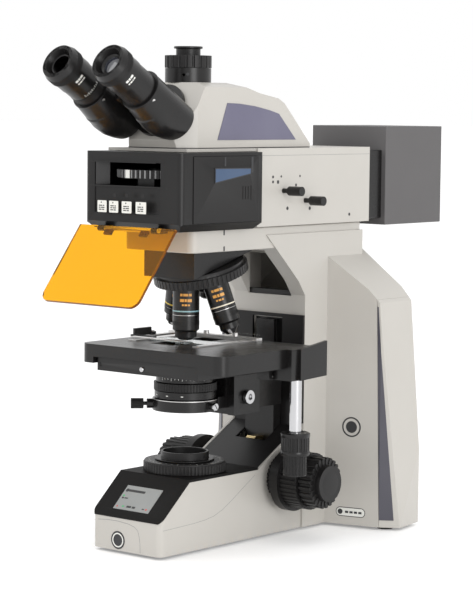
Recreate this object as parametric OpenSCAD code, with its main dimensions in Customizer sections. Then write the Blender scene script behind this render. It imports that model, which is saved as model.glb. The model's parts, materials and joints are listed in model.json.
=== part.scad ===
// Upright laboratory microscope with an incident-light fluorescence unit.
// Millimetres. +Z is up, the user sits on the -Y side, and the optical axis is the Z axis,
// so the origin is the point of the table under the objective in use.

/* [Base] */
// Width of the base across its side walls
base_w = 94; // [80:1:120]
// Distance of the front face of the base from the optical axis
base_front = 90; // [84:1:110]
// Height of the front band under the display slope
band_z = 36.5; // [30:0.5:42]
// Height of the flat black deck
deck_z = 76.5; // [70:0.5:84]
// Distance from the optical axis to the top edge of the display slope
slope_top = 46; // [44.5:0.5:52]
// Thickness of the moulded shells
wall = 3; // [2:0.1:4]
// Height of the rubber feet
foot_h = 3; // [2:0.5:6]
// Diameter of a rubber foot
foot_d = 18; // [12:1:24]

/* [Column] */
// Distance of the front of the column from the optical axis
col_y = 137; // [130:1:160]
// Width of the front part of the column
col_w = 98; // [94.5:0.5:124]
// Depth of the column from its front to its back
col_depth = 111; // [96:1:140]
// Width of the rear part of the column at its widest
rear_w = 260; // [230:1:300]
// Width of the column between the seams of its rear cover
seam_w = 222; // [200:1:226]

/* [Arm and illuminator] */
// Height of the underside of the arm above the table
arm_z = 305.5; // [300:0.5:380]
// Height of the arm
arm_h = 23; // [18:0.5:30]
// Width of the arm
arm_w = 95; // [85:0.5:115]
// Height of the incident-light box
box_h = 81; // [70:1:110]
// Width of the incident-light box
box_w = 110; // [100:1:124]
// Width of the filter module
module_w = 130; // [127:1:160]
// Diameter of the filter wheel
wheel_d = 108; // [90:1:112]
// Edge length of a filter cube
cube_w = 22; // [16:1:24]
// Length of the lamp house
lamp_l = 108; // [90:1:140]
// Width of the lamp house
lamp_w = 103; // [96:1:120]

/* [Nosepiece] */
// Tilt of the nosepiece axis from vertical
turret_tilt = 16; // [12:0.5:18]
// Diameter of the knurled nosepiece ring
turret_d = 99.4; // [92:0.2:110]
// Distance from the nosepiece axis to an objective seat
seat_r = 24.6; // [23:0.1:30]
// Distance from an objective seat to the specimen
parfocal = 60; // [58:0.5:64]
// Diameter of the objective thread
thread_d = 20.32; // [20:0.01:21]

/* [Stage and condenser] */
// Width of the stage
stage_w = 191; // [180:1:230]
// Depth of the stage
stage_l = 150; // [120:1:170]
// Distance of the front edge of the stage from the optical axis
stage_front = 84; // [80:1:100]
// Thickness of the stage top plate
stage_t = 12.8; // [10:0.1:16]
// Thickness of the glass slide
slide_t = 1.1; // [0.9:0.1:1.3]
// Diameter of the condenser body
cond_d = 64; // [54:1:68]
// Diameter of the seat for a loose filter on the field lens
filter_d = 45.2; // [40:0.1:47]
// Diameter of the stage drive tube
tube_d = 12.4; // [10:0.1:16]

/* [Focus drive] */
// Diameter of the hollow coarse shaft
shaft_d = 9; // [8:0.1:11]
// Diameter of the coarse knob flange
coarse_d = 68; // [56:1:70]
// Diameter of the fine knob
fine_d = 54; // [44:1:56]

/* [Head] */
// Inclination of the eyepiece tubes above horizontal
tube_tilt = 30; // [28:1:32]
// Interpupillary distance at rest
ipd = 66.8; // [60:0.1:72]
// Outside diameter of an eyepiece tube housing
carrier_d = 39; // [36:0.1:41]
// Diameter of an eyepiece where it enters its tube
eye_bore = 30; // [28:0.1:31]
// Width of the white head housing
head_w = 90; // [84:1:100]
// Diameter of the camera tube collar
photo_d = 47.4; // [44:0.1:52]
// Diameter of the hole in the camera tube
port_d = 25.1; // [24:0.1:30]

/* [Fits] */
// Radial running clearance of shafts and rings
run = 0.05; // [0.03:0.01:0.1]
// Gap between parts that move past each other
gap = 0.4; // [0.3:0.05:0.6]

/* [Hidden] */
$fn = 64;
eps = 0.01;

paint = [0.86, 0.85, 0.82];
black = [0.13, 0.13, 0.14];
dark = [0.2, 0.2, 0.21];
chrome = [0.8, 0.8, 0.82];
violet = [0.33, 0.32, 0.4];

base_hw = base_w / 2;
col_hw = col_w / 2;
arm_hw = arm_w / 2;
box_hw = box_w / 2;
module_hw = module_w / 2;
head_hw = head_w / 2;
seam_hw = seam_w / 2;
rear_hw = rear_w / 2;
deck_t = 2.5;
shell_z = deck_z - deck_t;
col_back = col_y + col_depth;

// Side wall of the base: it rises from the deck to the foot of the column.
rise_y = 63;
rise_slope = 0.56;
wall_top_z = shell_z + (col_y - rise_y) * rise_slope;

// Focus drive
focus_y = 102;
focus_z = 62;
fine_shaft_d = 5;
pitch_r = 6;
pinion_teeth = 15;
neck_y = 122;
rail_half = 12;
slot_hw = 20;
knob_x = 58;
coarse_flange = 10;
coarse_grip = 22;
fine_len = 16;

// Nosepiece
ring_h = 8.8;
turret_y = seat_r * cos(turret_tilt);
turret_z = arm_z - 27.5;
band_h = 4;
seat_z = turret_z - turret_y * tan(turret_tilt);
objective_count = 5;

// Stage
specimen_z = seat_z - parfocal;
stage_z = specimen_z - slide_t;
stage_x0 = -71.4;
hole_rear = 46;
lower_z = stage_z - 26.8;
skirt_z = stage_z - 19.4;
bracket_hw = 35;
bracket_z = stage_z - 77.5;
bracket_y = 37;
drive_x = 115;
drive_y = 39;
housing_z = stage_z - 31.8;
tube_z = stage_z - 110;
hole_hw = 16;
hole_l = 38;

// Condenser
cond_r = cond_d / 2;
cond_z = stage_z - 58;
fork_r = cond_r + 2;
ring_z = cond_z + 9;
ring_t = 8;

// Field ring on the deck
field_r = 43;
lens_r = 27;
field_h = 11;

// Incident-light unit
box_z = arm_z + arm_h + 1;
box_top = box_z + box_h;
box_y0 = 47;
box_y1 = 241;
module_z0 = box_z + 7;
module_z1 = box_top - 3.5;
module_y0 = -84;
module_y1 = 46;
module_r = 6;
wheel_y = -26;
wheel_r = wheel_d / 2;
wheel_z = box_z + 50.8;
wheel_t = 8.6;
cube_r = 26;
cube_h = 34;
hinge_y = -88;
hinge_z = box_z - 0.3;
hinge_r = 1.5;
collar_y1 = 275.6;
lamp_z = box_z + 48.8;

// Head
head_z = box_top + 0.5;
hub_y = -40.3;
hub_z = head_z + 36.3;
hub_drop = 16.4;
hub_r = 29;
hub_t = 5.8;
pin_r = 6;
lug_t = 8;
carrier_r = carrier_d / 2;
belly = 8.5;
carrier_len = 65;
carrier_top = hub_t + carrier_len;
eye_len = 54;
swing_r = norm([ipd / 2, hub_drop]);
swing_a = atan2(hub_drop, ipd / 2);
head_top = head_z + 66;
photo_z = head_top + 14.5;
photo_ring_h = 13;
eye_x = ipd / 2;

// A box with rounded vertical edges, centred on X and Y.
module rounded_box(w, l, h, r) {
    translate([-w / 2 + r, -l / 2, 0]) cube([w - 2 * r, l, h]);
    translate([-w / 2, -l / 2 + r, 0]) cube([w, l - 2 * r, h]);
    for (x = [-1, 1], y = [-1, 1])
        translate([x * (w / 2 - r), y * (l / 2 - r), 0]) cylinder(r = r, h = h);
}

// A slab with its outline in the YZ plane and its length along X, centred on X = 0.
module side_slab(points, w) {
    translate([-w / 2, 0, 0]) rotate([90, 0, 90]) linear_extrude(w) polygon(points);
}

// A slab with its outline in the XZ plane, from y0 to y1.
module front_slab(points, y0, y1) {
    translate([0, y1, 0]) rotate([90, 0, 0]) linear_extrude(y1 - y0) polygon(points);
}

// A prism with its outline in plan.
module plan_slab(points, z0, z1) {
    translate([0, 0, z0]) linear_extrude(z1 - z0) polygon(points);
}

// A disc with its axis along X, from x0 to x1.
module x_disc(r, x0, x1) {
    translate([x0, 0, 0]) rotate([0, 90, 0]) cylinder(r = r, h = x1 - x0);
}

// A grip with grooves cut along its edge.
module grooved(r, h, count, groove_r) {
    difference() {
        cylinder(r = r, h = h);
        for (i = [0 : count - 1])
            rotate([0, 0, i * 360 / count]) translate([r, 0, -1])
                cylinder(r = groove_r, h = h + 2, $fn = 16);
    }
}

module at_focus() {
    translate([0, focus_y, focus_z]) children();
}

module at_turret() {
    translate([0, turret_y, turret_z]) rotate([turret_tilt, 0, 0]) children();
}

// Frame of the binocular hub: Z runs out along the eyepiece tubes.
module at_hub() {
    translate([0, hub_y, hub_z]) rotate([90 - tube_tilt, 0, 0]) children();
}

function slope_angle() = atan2(deck_z - band_z, base_front - slope_top);

// ---------------------------------------------------------------- base

function base_side() = [[-base_front, foot_h], [-base_front, band_z],
    [-slope_top, shell_z], [rise_y, shell_z], [col_y, wall_top_z], [col_y, foot_h]];

function base_inside() = [[-base_front + wall, foot_h - 1], [-base_front + wall, band_z - wall],
    [-slope_top, shell_z - wall], [-slope_top, shell_z + 1], [rise_y, shell_z + 1],
    [col_y + 1, wall_top_z + 2], [col_y + 1, foot_h - 1]];

module base_shell() {
    color(paint) difference() {
        intersection() {
            side_slab(base_side(), base_w);
            translate([0, (col_y - base_front) / 2, 0])
                union() {
                    translate([0, 20, 0]) rounded_box(base_w, col_y + base_front + 40, 200, 8);
                }
        }
        side_slab(base_inside(), base_w - 2 * wall);
        at_focus() x_disc(shaft_d / 2 + run, -base_w, base_w);
    }
}

function deck_side() = [[-base_front, band_z], [-base_front - 1.2, band_z + 1],
    [-slope_top - 0.8, deck_z], [rise_y, deck_z], [rise_y, shell_z], [-slope_top, shell_z]];

module base_deck() {
    color(black) difference() {
        intersection() {
            side_slab(deck_side(), base_w);
            translate([0, (rise_y - base_front) / 2 + 20, 0])
                rounded_box(base_w, rise_y + base_front + 42.4, 200, 8);
        }
        translate([0, 0, shell_z - 1]) cylinder(r = lens_r - 3, h = deck_t + 2);
        on_slope(-3.7) translate([-24.2, -15.7, -0.6]) cube([48.4, 31.4, 3]);
    }
}

// Places a piece on the display slope, moved along it from its middle.
module on_slope(shift) {
    translate([0, -(base_front + slope_top) / 2 - 1, (band_z + deck_z) / 2 + 0.5])
        rotate([slope_angle(), 0, 0]) translate([0, shift, 0]) children();
}

module display_screen() {
    color([0.62, 0.64, 0.63]) on_slope(-3.7) translate([-24, -15.5, -0.6]) cube([48, 31, 1]);
}

// Black lining between the side walls: a ramp and the upright front of the column.
module column_liner() {
    inner = base_w - 2 * wall - 0.4;
    ramp = [[rise_y, shell_z - 3], [rise_y, shell_z], [col_y - wall, shell_z
        + (col_y - wall - rise_y) * rise_slope - 1], [col_y - wall, shell_z
        + (col_y - wall - rise_y) * rise_slope - 4]];
    color(black) difference() {
        union() {
            side_slab(ramp, inner);
            translate([-inner / 2, col_y - wall, wall_top_z - 6])
                cube([inner, wall, stage_z + 21.7 - wall_top_z + 6]);
            translate([-col_hw, col_y - wall, wall_top_z + 0.3])
                cube([col_w, wall, stage_z + 21.4 - wall_top_z]);
        }
        translate([-slot_hw - gap, focus_y + 5, 0])
            cube([2 * slot_hw + 2 * gap, 60, stage_z + 18]);
    }
}

module bottom_plate() {
    color([0.25, 0.25, 0.26]) translate([-base_hw + wall + 0.3, -base_front + wall + 0.3, foot_h])
        cube([base_w - 2 * wall - 0.6, col_y + base_front - 2 * wall, 2]);
}

module feet() {
    color(dark) {
        for (x = [-1, 1], y = [-base_front + 22, col_y - 12])
            translate([x * (base_hw - 18), y, 0]) cylinder(d = foot_d, h = foot_h);
        for (x = [-1, 1])
            translate([x * (seam_hw - 3), col_y + 70, 0]) cylinder(d = foot_d, h = foot_h);
    }
}

module led_module() {
    color([0.55, 0.56, 0.58]) {
        translate([-24, -24, foot_h + 2]) cube([48, 48, 22]);
        translate([0, 0, foot_h + 24]) cylinder(r = 16, h = 26);
    }
}

module field_lens() {
    color([0.75, 0.85, 0.9]) {
        translate([0, 0, shell_z - 8]) cylinder(r = lens_r - 3 - run, h = 8 + deck_t);
        translate([0, 0, deck_z]) cylinder(r = lens_r, h = field_h - 2);
    }
}

module field_ring() {
    color(dark) difference() {
        union() {
            translate([0, 0, deck_z + gap]) grooved(field_r, field_h - 2, 72, 0.9);
            translate([0, 0, deck_z + field_h - 2 + gap - eps])
                cylinder(r = field_r - 1.2, h = 1.6);
        }
        translate([0, 0, deck_z]) cylinder(r = lens_r + run, h = field_h + 4);
    }
}

module filter_holder() {
    z = deck_z + field_h + gap;
    color(black) difference() {
        union() {
            translate([0, 0, deck_z + field_h - 2]) cylinder(r = lens_r - 0.4, h = 3);
            translate([0, 0, z]) cylinder(r = lens_r + 4, h = 1.5);
            translate([0, 0, z + 1]) cylinder(r = lens_r - 2, h = 8);
        }
        translate([0, 0, deck_z]) cylinder(d = filter_d, h = field_h + 20);
    }
}

// ---------------------------------------------------------------- column

gusset_front = 71;
gusset_top = arm_z + 14.5;

function column_side() = [[col_y, foot_h], [col_y, arm_z - 52.5], [col_y - 12, arm_z - 36],
    [gusset_front, gusset_top], [box_y1 - 3, gusset_top], [box_y1 - 3, arm_z - 1],
    [col_back - 10, arm_z - 1], [col_back - 10, foot_h]];

// Outline of the wide rear part seen from the front.
function rear_front(inset) = [[-rear_hw + inset, foot_h], [-rear_hw + 21 + inset, arm_z - 60],
    [-rear_hw + 34 + inset, arm_z - 46], [-col_hw + 17 + inset, arm_z - inset],
    [col_hw - 17 - inset, arm_z - inset], [rear_hw - 34 - inset, arm_z - 46],
    [rear_hw - 21 - inset, arm_z - 60], [rear_hw - inset, foot_h]];

// Plan of the wide rear part, with the slanted wing faces.
function rear_plan(inset) = [[-col_hw + inset, col_y + 39 + inset],
    [-seam_hw + inset, col_y + 54 + inset],
    [-rear_hw + inset, col_y + 67 + inset], [-rear_hw + 7 + inset, col_back - inset],
    [rear_hw - 7 - inset, col_back - inset], [rear_hw - inset, col_y + 67 + inset],
    [seam_hw - inset, col_y + 54 + inset], [col_hw - inset, col_y + 39 + inset]];

module rear_block(inset) {
    intersection() {
        plan_slab(rear_plan(inset), foot_h - inset, arm_z);
        front_slab(rear_front(inset), col_y, col_back + 1);
    }
}

// Everything between the slanted seams and in front of the rear cover.
module seam_block(extra) {
    front_slab([[-seam_hw - extra, foot_h - extra], [-seam_hw + 5.5 - extra, arm_z - 60],
        [-seam_hw + 5.5 - extra, arm_z + extra], [seam_hw - 5.5 + extra, arm_z + extra],
        [seam_hw - 5.5 + extra, arm_z - 60], [seam_hw + extra, foot_h - extra]],
        col_y - extra, col_back - wall);
}

module column_shell() {
    window_hw = 30;
    color(paint) difference() {
        union() {
            side_slab(column_side(), col_w);
            intersection() {
                rear_block(0);
                seam_block(0);
            }
        }
        // inside of the front part
        translate([-col_hw + wall, col_y + wall, foot_h - 1])
            cube([col_w - 2 * wall, col_depth - 2 * wall - 6, arm_z - foot_h - 9]);
        // inside of the wings, open at the back
        intersection() {
            union() {
                rear_block(wall);
                translate([-30, col_back - 20, foot_h]) cube([60, 21, arm_z - foot_h - 60]);
                translate([-seam_hw + 12, col_back - 8, foot_h])
                    cube([seam_w - 24, 8, arm_z - foot_h - 70]);
            }
            translate([-seam_hw + wall, col_y, foot_h - 1])
                cube([seam_w - 2 * wall, col_depth, arm_z - foot_h - 5]);
        }
        // slot for the focusing slide
        translate([-slot_hw - gap, col_y - 1, foot_h - 1])
            cube([2 * slot_hw + 2 * gap, wall + 2, stage_z + 18 - foot_h]);
        // window under the arm
        translate([-window_hw, gusset_front - 10, arm_z - 54])
            cube([2 * window_hw, col_y + wall + 1 - gusset_front + 10, 54 - 3]);
        // room for the arm between the side panels
        translate([-arm_hw - 0.05, gusset_front - 20, arm_z])
            cube([arm_w + 0.1, box_y1 - gusset_front + 30, 60]);
    }
}

module rear_cover() {
    color(paint) difference() {
        rear_block(0);
        seam_block(0.2);
        translate([-20, col_back - wall - 1, 22]) cube([30, wall + 2, 24]);
        translate([28 - 6.5, col_back - wall - 1, 34 - 10.7]) cube([13, wall + 2, 21.4]);
        intersection() {
            rear_block(wall);
            for (x = [-1, 1])
                translate([x * (seam_hw + wall + 20) - 20, col_y + 58, foot_h - 1])
                    cube([40, 44, 170]);
        }
    }
}

// Violet strips on the column corners and panels on the head.
module side_inlays() {
    color(violet) {
        for (s = [-1, 1])
            mirror([s < 0 ? 1 : 0, 0, 0])
                intersection() {
                    strip_body();
                    front_slab([[seam_hw + 0.6, foot_h + 8], [rear_hw - 5.5, foot_h + 8],
                        [seam_hw - 3.6, arm_z - 64], [seam_hw - 4.8, arm_z - 64]],
                        col_y, col_back);
                }
        for (s = [-1, 1])
            mirror([s < 0 ? 1 : 0, 0, 0])
                translate([head_hw, 0, 0]) rotate([90, 0, 90]) linear_extrude(0.6)
                    polygon(head_panel());
    }
}

// A thin skin on the slanted corner faces of the column.
module strip_body() {
    t = 0.6;
    o = [col_hw, col_y + 39];
    a = [seam_hw, col_y + 54];
    b = [rear_hw, col_y + 67];
    m = [b[1] - a[1], a[0] - b[0]] / norm(b - a) * t;
    n = [a[1] - o[1], o[0] - a[0]] / norm(a - o) * t;
    plan_slab([o, a, b, b + m, a + (m + n) / 2 * 1.02, o + n], foot_h, arm_z);
}

function head_panel() = [[-6, head_z + 8], [9, head_z + 45.5], [28, head_z + 45],
    [54, head_z + 42.5], [78, head_z + 38.5], [93, head_z + 35], [122, head_z + 8]];

module focus_rail() {
    z0 = foot_h + 62;
    color([0.6, 0.6, 0.62]) {
        translate([-32, col_y + wall, z0]) cube([64, 5, stage_z - 15 - foot_h]);
        plan_slab([[-8, col_y + wall + eps], [-rail_half, col_y - 7],
            [rail_half, col_y - 7], [8, col_y + wall + eps]], z0, z0 + stage_z - 50);
    }
}

module power_inlet() {
    color(dark) difference() {
        translate([-20, col_back - wall - 14, 22]) cube([30, wall + 14.5, 24]);
        translate([-17, col_back - 10, 24.5]) cube([24, 12, 19]);
    }
    color(chrome) for (x = [-7, 0, 7])
        translate([x - 5 - 0.8, col_back - 10, 32]) cube([1.6, 7, 4]);
}

module power_switch() {
    color([0.1, 0.1, 0.1]) translate([28, col_back - 0.5, 34]) {
        translate([-6, -6, -9.5]) cube([12, 8, 19]);
        rotate([0, 90, 0]) translate([0, -2, -6.4]) cylinder(r = 1.5, h = 12.8);
    }
}

// ---------------------------------------------------------------- arm and illuminator

module upper_arm() {
    nose = -45;
    color(paint) difference() {
        translate([0, (nose + box_y1) / 2, arm_z])
            rounded_box(arm_w, box_y1 - nose, arm_h, 10);
        translate([-arm_hw + 4, 80, arm_z - 1]) cube([arm_w - 8, box_y1 - 90, arm_h - 4]);
        translate([0, 0, arm_z - 1]) cylinder(r = 14, h = arm_h + 2);
    }
}

module illuminator_box() {
    color(paint) difference() {
        union() {
            translate([-box_hw, box_y0, box_z]) cube([box_w, box_y1 - box_y0, box_h]);
            translate([-box_hw + 9, box_y0 + 2, arm_z + arm_h])
                cube([box_w - 18, box_y1 - box_y0 - 4, box_z - arm_z - arm_h + eps]);
            translate([0, 0, box_top - eps]) cylinder(r = 36, h = head_z - box_top + eps);
            translate([-box_hw + 2, -62, module_z1 + 0.4])
                cube([box_w - 4, box_y0 + 62 + eps, box_top - module_z1 - 0.4]);
        }
        translate([-box_hw + wall, box_y0 + wall, box_z + wall])
            cube([box_w - 2 * wall, box_y1 - box_y0 - 2 * wall, box_h - 2 * wall]);
        translate([0, 0, module_z1 - 1]) cylinder(r = 14, h = 8);
        translate([0, box_y0 - 1, box_z + 38]) rotate([-90, 0, 0]) cylinder(r = 18, h = 6);
        translate([0, box_y1 - 5, box_z + 38]) rotate([-90, 0, 0]) cylinder(r = 18, h = 10);
        for (p = [[rod_front_y, rod_front_z], [rod_rear_y, rod_rear_z]])
            translate([0, p[0], p[1]]) x_disc(rod_r + run, box_hw - 5, box_hw + 1);
    }
}

rod_r = 2.5;
rod_front_y = 90;
rod_front_z = box_z + 36.5;
rod_rear_y = 127;
rod_rear_z = box_z + 25.5;

module slider_rod(y, z) {
    translate([0, y, z]) {
        color(chrome) x_disc(rod_r, 30, box_hw + 9);
        color(black) x_disc(5, box_hw + 8, box_hw + 25);
        color([0.4, 0.4, 0.45]) translate([18, -14, -14]) cube([12.5, 28, 28]);
    }
}

module slider_rod_front() {
    slider_rod(rod_front_y, rod_front_z);
}

module slider_rod_rear() {
    slider_rod(rod_rear_y, rod_rear_z);
}

door_y0 = -65.5;
door_y1 = 36;
door_t = 1.8;
door_seat = 1.2;

module module_block(inset) {
    w = module_hw - inset;
    lip = 8;
    intersection() {
        translate([0, (module_y0 + module_y1) / 2, box_z - 1 + inset])
            rounded_box(2 * w, module_y1 - module_y0 - 2 * inset,
                module_z1 - box_z + 1 - 2 * inset, module_r);
        front_slab([[-w + lip, box_z - 1], [w - lip, box_z - 1], [w, module_z0],
            [w, module_z1], [-w, module_z1], [-w, module_z0]], module_y0, module_y1);
        side_slab([[module_y0 + inset + lip, box_z - 1], [module_y1 - inset - lip, box_z - 1],
            [module_y1 - inset, module_z0], [module_y1 - inset, module_z1],
            [module_y0 + inset, module_z1], [module_y0 + inset, module_z0]], 2 * w);
    }
}

module module_housing() {
    slot_x0 = -51;
    slot_w = 89;
    slot_z = box_z + 43.5;
    color(black) difference() {
        union() {
            module_block(0);
            for (x = [-36, 36]) {
                translate([x - 4, hinge_y, hinge_z - 3.2])
                    cube([8, module_y0 + 10 - hinge_y, 6.4]);
                translate([x, hinge_y, hinge_z]) x_disc(3.2, -4, 4);
            }
        }
        difference() {
            module_block(wall + 0.5);
            translate([0, wheel_y, box_z]) cylinder(r = 8, h = 8);
        }
        // window in front of the filter wheel
        translate([slot_x0, module_y0 - 1, slot_z]) cube([slot_w, wall + 3, 23.5]);
        // recessed label panel
        translate([slot_x0, module_y0 - 1, slot_z - 27.7]) cube([slot_w, 2, 26]);
        // seat of the side door
        translate([module_hw - door_seat, door_y0 - 0.4, module_z0 - 0.2])
            cube([5, module_y1 - door_y0 + 2, door_h() + 0.8]);
        // light passages
        translate([0, 0, box_z - 3]) cylinder(r = 14, h = box_h);
        translate([0, module_y1 - 10, box_z + 38]) rotate([-90, 0, 0]) cylinder(r = 18, h = 12);
        // carousel pivot
        translate([0, wheel_y, box_z + 1]) cylinder(r = 4 + run, h = 8);
        translate([-60, hinge_y, hinge_z]) x_disc(hinge_r + run, 0, 120);
    }
}

function door_h() = module_z1 - module_z0 - 4;

module side_door() {
    color(dark) translate([module_hw - door_seat + 0.2, door_y0, module_z0 + 0.2])
        cube([door_t, door_y1 - door_y0, door_h()]);
    color([0.25, 0.35, 0.45])
        translate([module_hw - door_seat + 0.2 + door_t - eps, 0, 0])
            rotate([90, 0, 90]) linear_extrude(0.8)
                polygon([[-34, box_z + 47], [-34, box_z + 61.5], [22, box_z + 61.5],
                    [22, box_z + 55.5]]);
}

module filter_wheel() {
    color(dark) difference() {
        translate([0, wheel_y, wheel_z]) grooved(wheel_r, wheel_t, 90, 0.8);
        for (a = [0 : 90 : 270])
            translate([0, wheel_y, 0]) rotate([0, 0, a]) translate([0, cube_r, wheel_z - 1])
                cylinder(r = 9, h = wheel_t + 2);
    }
    color(chrome) translate([0, wheel_y, box_z + 3]) cylinder(r = 4, h = wheel_z - box_z - 3 + eps);
    color([0.3, 0.3, 0.34]) for (a = [0 : 90 : 270])
        translate([0, wheel_y, 0]) rotate([0, 0, a])
            translate([0, cube_r, wheel_z - cube_h]) difference() {
                translate([-cube_w / 2, -cube_w / 2, 0]) cube([cube_w, cube_w, cube_h]);
                translate([0, 0, -1]) cylinder(r = 8, h = cube_h + 2);
            }
}

module amber_shield() {
    lean = 38.3;
    drop = 93;
    thick = 3;
    r = 10;
    hw = module_hw - 0.2;
    color([0.95, 0.6, 0.1, 0.7]) translate([0, hinge_y, hinge_z]) rotate([-lean, 0, 0]) {
        difference() {
            translate([0, -thick, 0]) rotate([90, 0, 0]) translate([0, 0, -thick / 2]) {
                translate([-hw, -drop + r, 0]) cube([2 * hw, drop - r - 4, thick]);
                translate([-hw + r, -drop, 0]) cube([2 * hw - 2 * r, drop - 4, thick]);
                for (s = [-1, 1])
                    translate([s * (hw - r), -drop + r, 0]) cylinder(r = r, h = thick);
            }
        }
        for (x = [-24, 24])
            translate([x - 5, -thick * 1.5, -8]) cube([10, thick * 1.5 + 1, 9]);
        x_disc(hinge_r, -41, 41);
    }
}

module lamp_collar() {
    color(black) difference() {
        translate([-46, box_y1, box_z + 2]) cube([92, collar_y1 - box_y1, box_h - 6]);
        translate([0, box_y1 - 1, box_z + 38]) rotate([-90, 0, 0]) cylinder(r = 24, h = 60);
    }
}

module lamp_house() {
    hw = lamp_w / 2;
    z0 = lamp_z - 54.5;
    color([0.3, 0.3, 0.3]) difference() {
        translate([-hw, collar_y1, z0]) cube([lamp_w, lamp_l, 109]);
        translate([-hw + 3, collar_y1 + 3, z0 + 3]) cube([lamp_w - 6, lamp_l - 6, 103]);
        translate([0, collar_y1 - 1, box_z + 38]) rotate([-90, 0, 0]) cylinder(r = 22, h = 6);
        for (x = [-36 : 8 : 36])
            translate([x - 2, collar_y1 + 20, z0 + 105]) cube([4, lamp_l - 40, 6]);
        for (x = [-36 : 8 : 36])
            translate([x - 2, collar_y1 + 20, z0 - 2]) cube([4, lamp_l - 40, 6]);
    }
}

module lamp() {
    y = collar_y1 + 52;
    z = box_z + 38;
    color([0.9, 0.9, 0.85]) translate([0, y, z]) {
        sphere(r = 9);
        translate([0, 0, -36]) cylinder(r = 5, h = 30);
        translate([0, 0, 6]) cylinder(r = 4, h = 22);
    }
    color([0.6, 0.6, 0.62]) translate([0, y, lamp_z - 51.5])
        cylinder(r = 16, h = z - 36 - lamp_z + 51.5);
}

module screws() {
    color(chrome) {
        for (x = [-1, 1], z = [-1, 1])
            translate([x * (lamp_w / 2 - 9), collar_y1 + lamp_l, lamp_z + z * 45])
                rotate([-90, 0, 0]) socket_screw(3.2, 2.2);
        for (x = [-1, 1], z = [20, 130, 232])
            translate([x * (seam_hw - 22), col_back, z]) rotate([-90, 0, 0])
                socket_screw(3.2, 2.2);
        for (x = [-1, 1], y = [-40, 4, 60])
            translate([x * (base_hw - 8), y - 4, foot_h]) rotate([180, 0, 0])
                socket_screw(2.5, 1.4);
    }
}

// A cylinder head with a hexagon socket, standing on Z = 0.
module socket_screw(r, h) {
    difference() {
        cylinder(r = r, h = h);
        translate([0, 0, h * 0.4]) cylinder(r = r * 0.5, h = h, $fn = 6);
    }
}

// ---------------------------------------------------------------- head

function head_side() = [[-54, head_z], [-56, head_z + 8], [-27.5, head_z + 58],
    [-22, head_top], [24, head_top], [62, head_z + 56], [93, head_z + 51],
    [103, head_z + 46], [147, head_z + 4], [147, head_z]];

function head_inside() = [[-49, head_z + wall], [-51, head_z + 9], [-23, head_z + 57],
    [-19, head_top - wall], [23, head_top - wall], [60, head_z + 53], [91, head_z + 48],
    [100, head_z + 43.5], [141, head_z + 5], [141, head_z + wall]];

function head_front(inset) = [[-head_hw + inset, head_z - 1], [-head_hw + inset,
    head_top - 4.5 - inset], [-head_hw + 14, head_top - inset], [head_hw - 14, head_top - inset],
    [head_hw - inset, head_top - 4.5 - inset], [head_hw - inset, head_z - 1]];

module head_body() {
    color(paint) difference() {
        intersection() {
            side_slab(head_side(), head_w);
            front_slab(head_front(0), -60, 160);
            plan_slab([[-head_hw, -36], [-30, -57], [30, -57], [head_hw, -36],
                [head_hw, 150], [-head_hw, 150]], head_z - 1, head_top + 1);
        }
        intersection() {
            side_slab(head_inside(), head_w - 2 * wall);
            front_slab(head_front(wall), -60, 160);
            plan_slab([[-head_hw + wall, -33], [-27, -54], [27, -54], [head_hw - wall, -33],
                [head_hw - wall, 150], [-head_hw + wall, 150]], head_z, head_top + 1);
        }
        translate([0, 0, head_z - 1]) cylinder(r = 14, h = 10);
        translate([0, 0, head_top - 10]) cylinder(d = port_d + 6, h = 20);
        at_hub() translate([0, 0, -16]) cylinder(r = pin_r, h = 20);
        at_hub() translate([-80, -60, 0]) cube([160, 130, 60]);
    }
}

module hub_disc() {
    color(black) at_hub() {
        translate([0, 0, 0]) cylinder(r = hub_r, h = hub_t - gap);
        translate([0, 0, -14]) cylinder(r = pin_r, h = 14 + hub_t + 2 * lug_t + 2 * gap);
        translate([0, 0, hub_t + 2 * lug_t + gap]) cylinder(r = 11, h = 3);
    }
}

// One binocular carrier in the hub frame, on the right side.
module carrier(lug_z) {
    cyl_z = hub_t;
    rotate([0, 0, -swing_a]) difference() {
        union() {
            translate([swing_r, 0, cyl_z]) cylinder(r = carrier_r, h = carrier_len - 6);
            translate([swing_r, 0, cyl_z + carrier_len - 7])
                cylinder(r = carrier_r + 1.2, h = 7);
            // prism housing, deeper on its underside
            hull() {
                translate([swing_r, 0, cyl_z + 12])
                    cylinder(r = carrier_r - 1, h = carrier_len - 22);
                translate([swing_r + belly * sin(swing_a), -belly * cos(swing_a), cyl_z + 22])
                    cylinder(r = carrier_r - 2, h = carrier_len - 42);
            }
            // web towards the hub
            translate([12.5, -10, cyl_z + 2 * lug_t + 6])
                cube([swing_r - 20, 20, carrier_len - 2 * lug_t - 24]);
            // lug around the hub pin
            translate([0, 0, lug_z]) cylinder(r = 13, h = lug_t);
            translate([4, -10, lug_z]) cube([swing_r - 10, 20, lug_t]);
        }
        translate([0, 0, lug_z - 1]) cylinder(r = pin_r + run, h = lug_t + 2);
        translate([swing_r, 0, cyl_z - 1]) cylinder(r = 11, h = carrier_len + 2);
        translate([swing_r, 0, cyl_z + carrier_len - 30]) cylinder(d = eye_bore, h = 40);
    }
}

module right_carrier() {
    color(black) at_hub() carrier(hub_t);
}

module left_carrier() {
    color(black) at_hub() mirror([1, 0, 0]) carrier(hub_t + lug_t + gap);
}

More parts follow.
